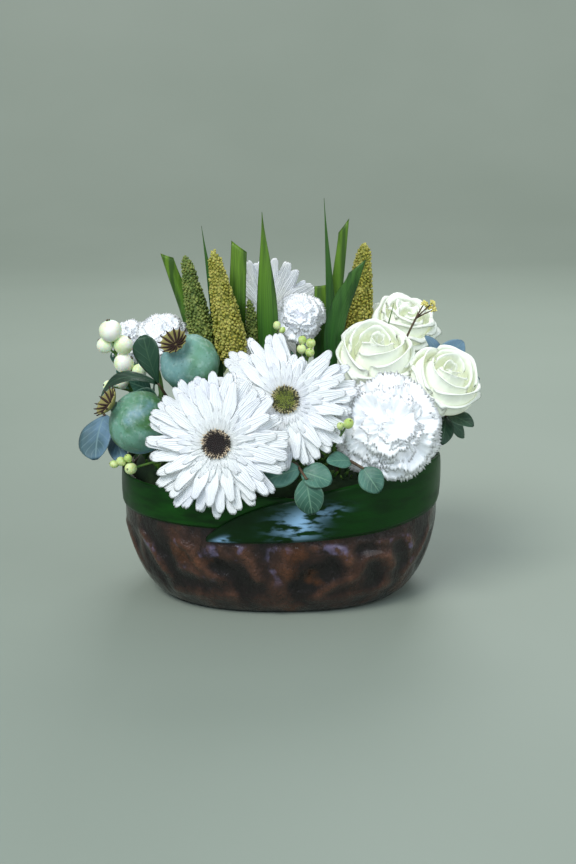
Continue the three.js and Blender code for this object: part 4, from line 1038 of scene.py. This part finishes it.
def ruffled_petal(skin, chance, size, around, bend, reach, columns, steps):
    """A fan on a narrow claw. It leans out by its bend, curls over and ends in a waved edge with
    fine teeth."""
    spread = between(chance, 0.45, 0.7)
    curl = between(chance, 0.14, 0.36)
    phase, second = any_turn(chance), any_turn(chance)
    folds = between(chance, 1.3, 2.6)
    depth = between(chance, 0.05, 0.1)
    aside = Quaternion(Vector((sin(bend), 0, cos(bend))), swing(chance, 0.5))
    reach *= between(chance, 0.86, 1.05) * size
    turn = Quaternion(UP, around) @ aside
    teeth = [(-0.014, 0.02)[j % 2] + 0.05 * (chance.random() - 0.5) for j in range(columns + 1)]

    def spot(t, column):
        side, tooth = column
        lean = bend * smooth(-0.3, 0.7, t) + curl * t**4
        length = reach * (t - 0.12 * side * side * t + tooth * smooth(0.8, 1, t))
        ripple = depth * t**2.2 * sin(pi * folds * side + phase)
        ripple += 0.4 * depth * t**4 * sin(pi * folds * 2.9 * side + second)
        ahead = length * cos(side * spread)
        out = sin(lean) * ahead - cos(lean) * ripple * size
        up = cos(lean) * ahead + sin(lean) * ripple * size
        return turn @ Vector((out, length * sin(side * spread), up))

    lengths = [share**0.85 for share in shares(steps)]
    rows = grid(spot, lengths, list(zip(spans(columns), teeth)))
    skin.sheet(rows, PETAL_THICKNESS, chance.random())


def build_carnation(name, at, look, radius, entry, columns=32, steps=11):
    chance, axis, place = head(name, at, look)
    skin = Skin(place @ raised(CARNATION_HEART * radius))
    for count, bend, reach in CARNATION_WHORLS:
        for around in whorl(chance, count, any_turn(chance), 0.22):
            leaning = radians(bend + swing(chance, 12))
            ruffled_petal(skin, chance, radius, around, leaning, reach, columns, steps)
    skin.build(f"{name}_petals", [RUFFLED_PETAL], name, "white_petal")
    green = Skin(place)
    green.turned(CARNATION_CUP, 16, radius)
    green.stem(entry, Vector(at) + axis * (STEM_TOP * radius), axis, CARNATION_STEM)
    green.build(f"{name}_stem", [GREEN_STEM], name, "white_petal")


def build_carnations():
    build_carnation("carnation_right", (73, -70, 135), (8, 24), 34, (60, -34), 36, 12)
    build_carnation("carnation_centre", (12.5, 2, 196), (0, 40), 18, (12, -3))
    build_carnation("carnation_left", (-84, 6, 180), (-15, 50), 20, (-64, 8))
    build_carnation("carnation_far_left", (-110, 24, 174), (-50, 35), 16, (-80, 18))
    build_carnation("carnation_back", (56, 66, 158), (160, 30), 27, (46, 42))


# ---- Roses ----

ROSE_WHORLS = [
    # petals, half spread, foot, root, belly, top, lip
    (4, 0.95, -0.62, 0.28, 0.94, 0.2, 0.09),
    (3, 1.15, -0.6, 0.24, 0.87, 0.46, 0.06),
    (2, 1.6, -0.56, 0.2, 0.69, 0.58, 0.04),
    (2, 1.5, -0.5, 0.14, 0.49, 0.63, 0.025),
    (2, 1.6, -0.45, 0.08, 0.28, 0.6, 0.015),
    (1, 2.6, -0.4, 0.04, 0.11, 0.55, 0.0),
]
ROSE_CUP = [(0.05, -0.98), (0.12, -0.95), (0.25, -0.84), (0.33, -0.72), (0.33, -0.6), (0.2, -0.52)]
ROSE_STEM = 2.4


def rose_petal(skin, chance, size, angle, spread, foot, root, belly, top, lip, waves):
    """One cupped petal. It climbs from the hip, bellies out and rolls its lip outward."""
    phase = any_turn(chance)
    folds = between(chance, 1.1, 1.9)
    top += swing(chance, 0.06)
    point = between(chance, 0.03, 0.08)

    def spot(t, side):
        wide = spread * mix(0.45, 1, smooth(0, 0.4, t)) * (1 - 0.16 * smooth(0.75, 1, t))
        swell = sin(pi / 2 * min(t / 0.5, 1)) ** 0.7
        roll = smooth(0.74, 1, t)
        out = mix(root, belly, swell) - (top * 0.16 + 0.02) * smooth(0.5, 0.85, t) + lip * roll
        out += 0.045 * side + 0.05 * roll * side * side
        height = mix(foot, top, (t / 0.86) ** 1.15 if t < 0.86 else 1)
        height -= 0.5 * lip * smooth(0.88, 1, t)
        height += (point - 0.2 * side * side) * smooth(0.35, 1, t) * (top - foot) * 0.8
        wave = waves * smooth(0.55, 1, t)
        out += wave * sin(side * pi * folds + phase)
        height += 0.6 * wave * sin(side * pi * folds * 1.6 + phase)
        return polar(angle + side * wide, out * size, height * size)

    skin.sheet(grid(spot, shares(16), spans(16)), PETAL_THICKNESS, chance.random())


def build_rose(name, at, look, radius, entry, waves=0.028, opening=0.0):
    chance, axis, place = head(name, at, look)
    skin = Skin(place)
    for count, spread, foot, root, belly, top, lip in ROSE_WHORLS:
        wider = mix(belly, sqrt(belly), 0.5 * opening)
        lower = top - 0.35 * opening * belly
        rolled = lip + 0.1 * opening
        for angle in whorl(chance, count, any_turn(chance), 0.08):
            rose_petal(skin, chance, radius, angle, spread, foot, root, wider, lower, rolled, waves)
    skin.build(f"{name}_petals", [CREAM_PETAL], name, "cream_petal")
    green = Skin(place)
    green.turned(ROSE_CUP, 16, radius)
    foot, tip = (0.28 * radius, -0.7 * radius), (0.78 * radius, -0.3 * radius)
    add_sepals(
        green, chance, 5, 0.3, 6, 4, foot, tip, lambda t: 0.13 * radius * sin(pi * mix(0.25, 0.98, t))
    )
    green.stem(entry, Vector(at) + axis * (STEM_TOP * radius), axis, ROSE_STEM)
    green.build(f"{name}_stem", [GREEN_STEM], name, "cream_petal")


def build_roses():
    build_rose("rose_centre", (64, -22, 171), (4, 58), 27, (50, -14))
    build_rose("rose_right", (110, -32, 156), (28, 46), 25.5, (80, -18))
    build_rose("rose_open", (88, 26, 187), (20, 58), 22, (68, 14), 0.075, 1.0)
    build_rose("rose_back", (-52, 62, 158), (200, 36), 25, (-42, 40))


# ---- Poppy pods ----

POD_PROFILE = [
    (0.04, -1.12), (0.16, -1.1), (0.3, -1.0), (0.5, -0.88), (0.72, -0.68), (0.88, -0.45), (0.97, -0.2),
    (1.0, 0.04), (0.97, 0.26), (0.88, 0.48), (0.74, 0.66), (0.55, 0.8), (0.36, 0.88), (0.24, 0.92),
    (0.19, 0.98), (0.18, 1.03), (0.12, 1.04),
]
POD_SIDES = 78
POD_STEM = 2.2
POD_STEM_TOP = -1.05  # over the radius
CROWN_FOOT = 1.04  # over the radius
CROWN_RAYS = 13


def crown_height(share):
    """How high the funnel of a crown stands above its foot."""
    return 1.0 + 1.2 * share + 3.4 * share**2


def build_crown(name, chance, place, radius):
    """A scalloped funnel with a ridge along each ray."""
    crown = Skin(place)

    def ring(t, lift):
        """One ring of the funnel, on its outside or, lifted, on its inside."""
        spots = []
        for angle in turns(CROWN_RAYS * 4):
            ray = 0.5 + 0.5 * cos(angle * CROWN_RAYS)
            reach = radius * mix(0.12, 0.42 + 0.06 * ray, t)
            spots.append(polar(angle, reach, crown_height(t) + lift + 0.3 * ray * t))
        return spots

    rings = [ring(t, 0.0) for t in shares(8)] + [ring(t, 0.9) for t in reversed(shares(8))]
    crown.loft(rings, 0.0, 0, (Vector(), Vector((0, 0, 2.2))))
    for angle in whorl(chance, CROWN_RAYS, 0, 0.08):
        length = between(chance, 0.5, 0.58) * radius
        rings = []
        for t in shares(7):
            middle = polar(angle, length * mix(0.1, 1, t), crown_height(t) + 1.5 + 0.5 * t)
            half = mix(0.3, 0.8, smooth(0, 0.6, t)) * (1 - 0.75 * smooth(0.8, 1.0, t))
            rings.append([middle + beside(angle) * (half * cos(n)) + UP * (0.6 * sin(n)) for n in turns(6)])
        crown.loft(rings, 1.0)
    crown.build(f"{name}_rays", [DRY_CROWN], name, "pod_crown")


def build_pod(name, at, look, radius, entry, bloom):
    """A ribbed, slightly dented pod. The bloom is how blue it is, from 0 to 1."""
    chance, axis, place = head(name, at, look)
    skin = Skin(place)
    rings = []
    for spot in through([Vector((r, z, 0)) for r, z in POD_PROFILE], 3):
        rings.append([])
        for angle in turns(POD_SIDES):
            rib = 0.016 * cos(angle * CROWN_RAYS) * smooth(0.25, 0.8, spot.x)
            dents = 0.03 * noise.noise(polar(angle, 1.4, spot.y * 1.4 + radius))
            rings[-1].append(polar(angle, spot.x * (1 + rib + dents) * radius, spot.y * radius))
    skin.loft(rings, bloom)
    skin.stem(entry, Vector(at) + axis * (POD_STEM_TOP * radius), axis, POD_STEM, 10, 0.9, 1)
    skin.build(f"{name}_skin", [POD_SKIN, GREEN_STEM], name, "pod")
    build_crown(name.replace("pod", "crown"), chance, place @ raised(CROWN_FOOT * radius + 0.3), radius)


def build_pods():
    build_pod("pod_upper", (-59.5, -52, 172), (-29, 44), 19.5, (-50, -28), 0.0)
    build_pod("pod_lower", (-93.5, -54, 132.5), (-66, 36), 21, (-70, -34), 1.0)


# ---- Millet spikes ----

GRAIN_SPACING = 2.05
MILLET_STEM = 1.6


def build_millet(name, slot, foot, tip, radius, entry):
    """A tapered core covered with grains in a spiral."""
    chance = random.Random(name)
    foot, tip = Vector(foot), Vector(tip)
    length = (tip - foot).length
    axis = (tip - foot).normalized()

    def girth(t):
        swell = sin(pi * min(0.5, 0.16 + 1.3 * t)) * (1 - 0.72 * t**1.7)
        return radius * swell * (1 - 0.6 * smooth(0.93, 1, t))

    skin = Skin(placement(foot, axis))
    skin.loft([circle(16, girth(t) * 0.9, t * length) for t in shares(20)], 0.95)
    height, n = 0.0, 0
    while height < length + 0.5:
        here = girth(min(height / length, 1))
        size = between(chance, 0.85, 1.35) * mix(0.75, 1.0, here / radius)
        out = polar(n * GOLDEN_ANGLE + swing(chance, 0.16), 1, 0)
        centre = out * (here * between(chance, 0.9, 1.08)) + UP * (height + swing(chance, 0.6))
        skin.ball(centre, size, chance.random(), (out + UP * 0.5).normalized(), 1.15, 5, 6)
        height += GRAIN_SPACING**2 / (tau * max(here, 1.5))
        n += 1
    skin.stem(entry, foot + axis * 2, axis, MILLET_STEM, 8, 0.4, 1)
    skin.build(f"{name}_grains", [GRAINS[slot], GREEN_STEM], name, slot)


def build_millets():
    build_millet("millet_green_left", "green_grain", (-50, 0, 160), (-66, 10, 234), 9.4, (-44, 2))
    build_millet("millet_yellow_left", "yellow_grain", (-31, -8, 160), (-46, 0, 239), 10.5, (-28, -10))
    build_millet("millet_green_small", "green_grain", (-18, 12, 170), (-22, 12, 203), 5, (-17, 9))
    build_millet("millet_yellow_right", "yellow_grain", (52, 30, 172), (59, 31, 240), 11, (50, 28))


# ---- Leaf blades ----

BLADES = {
    # entry, knee, tip, width, slant of the cut end or None for a point
    "blade_cut_left": ((-56, 18), (-61, 17, 175), (-79, 16, 234), 10.5, -1.5),
    "blade_thin_left": ((-42, 20), (-45, 20, 178), (-55, 20, 254), 7, None),
    "blade_cut_middle": ((-29, 20), (-31, 17, 180), (-29, 19, 240), 12.5, -4),
    "blade_tall_middle": ((-10, -5), (-9, -8, 190), (-12.5, -8, 266.5), 14.5, None),
    "blade_tall_right": ((30, 6), (35, 5, 180), (29.5, 5, 274.5), 7, None),
    "blade_cut_right": ((37, 16), (37, 14, 182), (43.5, 15, 255), 8.5, 5),
    "blade_broad_right": ((36, -7), (36.5, -9, 184), (52, -12, 231), 14, 5),
    "blade_short_right": ((23, 20), (28, 21, 178), (27.5, 22, 212), 9.5, 0.5),
}
BLADE_ROOT = 1.6
DARK_BLADES = ("blade_broad_right", "blade_thin_left", "blade_tall_right")


def blade_width(share, pointed):
    """The width over the widest, from the mouth of its hole to the tip."""
    widen = mix(0.22, 1, smooth(0, 0.55, share))
    if pointed:
        return widen * (1 - smooth(0.5, 1.02, share)) ** 0.85 + 0.02
    return widen * (1 - 0.14 * smooth(0.6, 1, share))


def build_blades():
    for name, (entry, knee, tip, width, cut) in BLADES.items():
        chance = random.Random(name)
        _, mouth, foot = stem_seat(entry)
        route = through([mouth, Vector(knee), Vector(tip)], 24)
        stations = [foot, foot.lerp(mouth, 0.5), *route]

        def spot(number, side):
            share = max(number - 2, 0) / (len(route) - 1)
            wide = max(width * blade_width(share, cut is None) / 2, 0.15)
            half = mix(BLADE_ROOT, BLADE_ROOT if number < 3 else wide, smooth(0, 0.12, share))
            fold = 0.3 * half * (1 - abs(side)) ** 1.2 * smooth(0, 0.2, share)
            wave = 0.2 * sin(share * 9 + chance.random() * 0.2) * side * side
            up = side * (cut or 0) * smooth(0.75, 1, share)
            return stations[number] + Vector((side * half, -(fold + wave * 0.6), up))

        skin = Skin()
        skin.sheet(grid(spot, range(len(stations)), spans(10)), BLADE_THICKNESS, chance.random())
        finish = DARK_BLADE if name in DARK_BLADES else BLADE_LEAF
        skin.build(f"{name}_leaf", [finish], name, "blade")


# ---- Eucalyptus ----


def round_leaf(skin, chance, root, tip, face, width, finish=0, spoon=1.0, arch=0.07):
    """A cupped leaf. A spoon over 1 makes it broadest near its tip, and its arch bows it up."""
    along = tip - root
    across = along.cross(face).normalized()
    up = across.cross(along).normalized()
    phase = any_turn(chance)

    def spot(t, side):
        half = width / 2 * max(sin(pi * mix(0.02, 0.985, t) ** spoon), 0.0) ** 0.62
        cup = 0.17 * half * side * side + 0.06 * half * side * sin(t * 9 + phase)
        bow = along.length * arch * 4 * t * (1 - t)
        return root + along * t - across * (side * half) + up * (cup + bow)

    skin.sheet(grid(spot, shares(14), spans(10)), LEAF_THICKNESS, chance.random(), finish)


SPRIGS = {
    # leaf, entry, route, leaves as (along the twig, tip, width, side it faces, spoon, arch)
    "eucalyptus_left_tall": (DARK_LEAF, (-60, -14), [(-72, -30, 135), (-82, -40, 156)], [
        (0.97, (-91, -41, 189), 19.5, (-20, 10), 2.1), (0.99, (-122, -34, 144), 11, (-10, 60), 1.0, 0.3),
    ]),
    "eucalyptus_left_low": (BLUE_LEAF, (-84, -22), [(-108, -22, 114), (-121, -28, 132)], [
        (0.97, (-124, -52, 106), 30, (-30, 10), 1.15), (0.7, (-104, -56, 104), 16, (-20, 20)),
    ]),
    "eucalyptus_front_left": (EUCALYPTUS, (6, -54), [(10, -82, 112), (17, -97, 106)], [
        (0.98, (20.5, -101, 83.5), 19, (0, 10)), (0.8, (-11, -92, 103), 17, (-10, 25)),
        (0.86, (33, -97, 104), 18, (20, 30)),
    ]),
    "eucalyptus_front_right": (EUCALYPTUS, (38, -54), [(44, -74, 112), (54, -86, 110)], [
        (0.98, (64, -93, 96), 17, (10, 10)), (0.72, (30, -88, 115), 13, (0, 45)),
    ]),
    "eucalyptus_right_tall": (BLUE_LEAF, (86, 2), [(108, 2, 140), (112, -4, 165)], [
        (0.97, (125, -11, 179), 18, (10, 20)), (0.99, (99, -8, 182), 9, (0, 50)),
        (0.86, (137, -12, 152), 12, (30, 40)),
    ]),
    "eucalyptus_right_low": (DARK_LEAF, (88, -8), [(108, -22, 124), (114, -34, 133)], [
        (0.98, (129, -48, 128), 13, (20, 40)), (0.8, (128, -12, 112), 15, (60, 20)),
        (0.9, (108, -50, 116), 13, (10, 20)),
    ]),
}
BACK_SPRIGS = {
    # entry, route, leaf length
    "eucalyptus_back_left": ((-78, 32), [(-96, 52, 128), (-110, 62, 150)], 24),
    "eucalyptus_back_middle": ((4, 52), [(4, 74, 130), (2, 84, 156)], 25),
    "eucalyptus_back_right": ((74, 34), [(98, 48, 130), (108, 52, 152)], 24),
}


def build_sprigs():
    for name, (finish, entry, stops, leaves) in SPRIGS.items():
        chance, skin, route = twig_skin(name, entry, stops)
        for along, tip, width, look, *form in leaves:
            root, _ = along_route(route, along)
            round_leaf(skin, chance, root, Vector(tip), facing(*look), width, 0, *form)
        skin.build(f"{name}_leaves", [finish, BROWN_TWIG], name, "eucalyptus")
    for name, (entry, stops, size) in BACK_SPRIGS.items():
        chance, skin, route = twig_skin(name, entry, stops)
        for n in range(8):
            root, ahead = along_route(route, mix(0.35, 0.98, n / 7))
            outward = Vector((root.x, root.y * 1.4, 0)).normalized()
            aside = ahead.cross(outward).normalized() * ((1 if n % 2 else -1) * between(chance, 0.7, 1.2))
            reach = size * mix(1.0, 0.75, n / 8) * between(chance, 0.85, 1.0)
            aim = (ahead * 0.55 + aside + outward * between(chance, 0.25, 0.5)).normalized()
            round_leaf(skin, chance, root, root + aim * reach, outward + UP * 0.4, reach * 0.85)
        skin.build(f"{name}_leaves", [EUCALYPTUS, BROWN_TWIG], name, "eucalyptus")


# ---- Berries, buds and the tuft ----

CLUSTERS = {
    # finish, slot, entry, route, stem, stretch, balls as (place, radius, share along the twig)
    "snowberries": (SNOWBERRY, "snowberry", (-80, 0), [
        (-98, -14, 135), (-108, -21, 160), (-112, -22, 172),
    ], 1.2, 1, [
        ((-119.5, -20, 178), 5.7, 1), ((-106.5, -22, 178.5), 6.8, 1), ((-115, -23, 188.5), 7.8, 1),
        ((-106.5, -22, 166), 7, 0.9), ((-96, -25, 161), 5, 0.8), ((-108, -25, 153), 4.4, 0.7),
        ((-117, -27, 151), 4, 0.66),
    ]),
    "buds_left": (BUD, "bud", (-62, -46), [(-80, -62, 108), (-96, -74, 107)], 1, 1.2, [
        ((-104, -76, 112), 3, 1), ((-109, -74, 109.5), 2.6, 1), ((-99, -79, 115), 2.6, 0.97),
        ((-97.5, -79, 108), 3.9, 0.97),
    ]),
    "buds_centre": (BUD, "bud", (16, -20), [(17, -34, 140), (17, -40, 174)], 1, 1.1, [
        ((14, -43, 180), 3.2, 1), ((20, -43, 184), 3.2, 1), ((19.5, -45, 178), 3, 1),
        ((14.5, -42, 186), 2.8, 1),
    ]),
    "buds_small": (BUD, "bud", (-2, -18), [(-3, -22, 150), (-3, -22, 184)], 1, 1.2, [
        ((-2.5, -22, 192), 2.6, 1), ((1, -21, 188.5), 2.2, 1),
    ]),
    "buds_front": (BUD, "bud", (28, -46), [(32, -66, 114), (41, -86, 136)], 1, 1.3, [
        ((43.5, -93, 142), 3.3, 1), ((38.5, -90, 139.5), 2.4, 1),
    ]),
    "tuft_sprig": (TUFT, "tuft", (77, 4), [(84, 4, 140), (85, 0, 172), (95, -1, 197)], 0.9, 1, [
        ((101, 3, 199.5), 2.3, 1), ((105, 3, 198), 1.9, 1), ((98.5, 2, 202), 1.8, 1),
        ((104, 2, 202.5), 1.8, 1),
    ]),
}
TUFT_GRAINS = 40
NEEDLE = [(84.5, 3, 150), (74, 3, 178), (78, 2, 203)]


def add_tuft(skin, chance, centre, axis, radius):
    for _ in range(TUFT_GRAINS):
        aim = (axis + Vector([swing(chance, 1.1) for _ in range(3)])).normalized()
        grain = centre + aim * (radius * between(chance, 0.4, 1.5))
        skin.ball(grain, radius * 0.27, chance.random(), aim, 1.6, 5, 6)


def add_berry(skin, chance, centre, axis, radius, stretch):
    """A dented ball with the five dry tips of its flower on top."""
    skin.ball(centre, radius, chance.random(), axis, stretch, 12, 18, 0, 0.06)
    top = centre + axis * (radius * (stretch - 0.06))
    side = axis.orthogonal().normalized()
    other = axis.cross(side)
    for angle in turns(5):
        around = (side * cos(angle) + other * sin(angle)) * (radius * 0.13)
        skin.ball(top + around, radius * 0.07, 0.9, axis, 1.4, 4, 5, 2)


def build_clusters():
    for name, (finish, slot, entry, stops, stem, stretch, balls) in CLUSTERS.items():
        bark = 2 if slot == "tuft" else 1
        chance, skin, route = twig_skin(name, entry, stops, (stem, stem * 0.8), bark)
        for spot, radius, share in balls:
            centre = Vector(spot)
            root, _ = along_route(route, share)
            axis = (centre - root).normalized() if (centre - root).length > 1 else UP
            middle = root.lerp(centre, 0.5) + UP * 0.3
            skin.tube([root, middle, centre], (stem * 0.7, stem * 0.5), 6, 0.5, bark)
            if slot == "tuft":
                add_tuft(skin, chance, centre, axis, radius)
            else:
                add_berry(skin, chance, centre, axis, radius, stretch)
        if slot == "tuft":
            skin.tube(through([Vector(spot) for spot in NEEDLE], 6), (1.3, 0.2), 8, 0.5, 1)
        skin.build(f"{name}_spray", [finish, GREEN_STEM, BROWN_TWIG], name, slot)


# ---- The foam under its cover of moss ----

FOAM_SIDES = 120
FOAM_LEVELS = [
    # height, how far in from the wall
    (FLOOR + FOAM_GAP, 0), (14, 0), (24, 0), (40, 0), (BELLY_HEIGHT + FLOOR, 0), (80, 0), (89, 2),
    (93.5, 4), (96.2, 8),
]
MOSS_LEAVES = 620


def build_foam():
    chance = random.Random("foam")
    skin = Skin()
    rings = []
    for height, inset in FOAM_LEVELS:
        half = bowl_half_width(height - FLOOR - FOAM_GAP)
        rings.append(oval(FOAM_SIDES, half, height, -WALL - FOAM_GAP - inset))
    for inset in (14, 24, 36, 48, 60, 72):
        rings.append(oval(FOAM_SIDES, BOWL_HALF_WIDTH, FOAM_TOP, -WALL - inset))
        for spot in rings[-1]:
            spot.z += 0.9 * noise.noise(spot * 0.09)
    skin.loft(rings, 0.3, 0, (Vector((0, 0, FLOOR + FOAM_GAP)), Vector((0, 0, FOAM_TOP))))
    for n in range(MOSS_LEAVES):
        share = sqrt((n + 0.5) / MOSS_LEAVES)
        rim = oval_point(BOWL_HALF_WIDTH - 9, n * GOLDEN_ANGLE, FOAM_TOP - 0.6)
        spot = Vector((rim.x * share, rim.y * share, rim.z))
        spot += Vector((swing(chance, 3), swing(chance, 3), 0))
        lean = Vector((swing(chance, 1), swing(chance, 1), between(chance, 0.35, 1.0))).normalized()
        length = between(chance, 5, 9.5)
        face = Vector((swing(chance, 1), -0.6, 0.7))
        width = length * between(chance, 0.3, 0.5)
        round_leaf(skin, chance, spot, spot + lean * length, face, width, 1)
    skin.build("foam_under_moss", [MOSS, BLADE_LEAF], "foam", "foam")


# ---- Floor, light and camera, in metres ----

FLOOR_HALF_WIDTH = 8
FLOOR_FRONT = -6
CURVE_START = 1.6
CURVE_RADIUS = 1.5
CURVE_STEPS = 23
WALL_TOP = 6
ROOM_COLOUR = (0.78, 0.88, 0.97, 1)
ROOM_LIGHT = 0.5
LIGHTS = [
    # name, kind, place or None, aim, power, colour, and an angle for the sun or a size
    ("key", "SUN", (0, 0, 0), (0.6, 0.9, -1.25), 2.25, (1.0, 0.98, 0.95), {"angle": radians(26)}),
    ("fill", "AREA", (1.2, -0.9, 0.8), None, 7, (0.92, 0.96, 1.0), {"size": 1.0}),
    ("window", "AREA", (-0.35, -1.3, 0.9), None, 4.5, (0.72, 0.86, 1.0), {"size": 0.3}),
    ("back", "AREA", (0.2, 1.1, 1.1), None, 9, (0.95, 0.98, 1.0), {"size": 0.8}),
]
LIT_POINT = Vector((0, 0, 0.12))
CAMERA_HEIGHT = radians(15)
CAMERA_DISTANCE = 1.0
CAMERA_TARGET = Vector((0.005, 0, 0.1115))
CAMERA_LENS = 59.08
CAMERA_SENSOR = 36


def point_at(thing, direction):
    thing.rotation_mode = "QUATERNION"
    thing.rotation_quaternion = direction.to_track_quat("-Z", "Y")


def make_backdrop():
    """A pale floor that curves up into a wall."""
    profile = [(FLOOR_FRONT, 0)]
    for share in shares(CURVE_STEPS):
        turn = radians(share * 90)
        profile.append((CURVE_START + CURVE_RADIUS * sin(turn), CURVE_RADIUS * (1 - cos(turn))))
    profile.append((CURVE_START + CURVE_RADIUS, WALL_TOP))
    points = [(x, *spot) for spot in profile for x in (-FLOOR_HALF_WIDTH, FLOOR_HALF_WIDTH)]
    faces = [(2 * i, 2 * i + 1, 2 * i + 3, 2 * i + 2) for i in range(len(profile) - 1)]
    mesh = bpy.data.meshes.new("backdrop")
    mesh.from_pydata(points, [], faces)
    mesh.polygons.foreach_set("use_smooth", [True] * len(faces))
    mesh.materials.append(floor_finish())
    new_object("backdrop", mesh)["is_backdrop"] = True


def make_lights():
    world = bpy.data.worlds.new("pale_room")
    world.use_nodes = True
    background = world.node_tree.nodes["Background"].inputs
    background["Color"].default_value = ROOM_COLOUR
    background["Strength"].default_value = ROOM_LIGHT
    bpy.context.scene.world = world
    for name, kind, place, aim, power, colour, settings in LIGHTS:
        data = bpy.data.lights.new(name, kind)
        data.energy = power
        data.color = colour
        for setting, value in settings.items():
            setattr(data, setting, value)
        lamp = new_object(name, data)
        lamp.location = place
        point_at(lamp, Vector(aim) if aim else LIT_POINT - Vector(place))


def make_camera():
    """The photograph's view: from the front, 15 degrees above level, a metre away."""
    back = Vector((0, -cos(CAMERA_HEIGHT), sin(CAMERA_HEIGHT)))
    data = bpy.data.cameras.new("camera")
    data.lens = CAMERA_LENS
    data.sensor_width = CAMERA_SENSOR
    camera = new_object("camera", data)
    camera.location = CAMERA_TARGET + back * CAMERA_DISTANCE
    point_at(camera, -back)
    bpy.context.scene.camera = camera
    bpy.context.scene.view_settings.view_transform = "Standard"


make_camera()
make_backdrop()
make_lights()
build_bowl()
build_wraps()
build_gerberas()
build_carnations()
build_roses()
build_pods()
build_millets()
build_blades()
build_sprigs()
build_clusters()
build_foam()

boxes = {"cad": cad_box, "visual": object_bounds()}
{name: [list(corner) for corner in box] for name, box in boxes.items()}
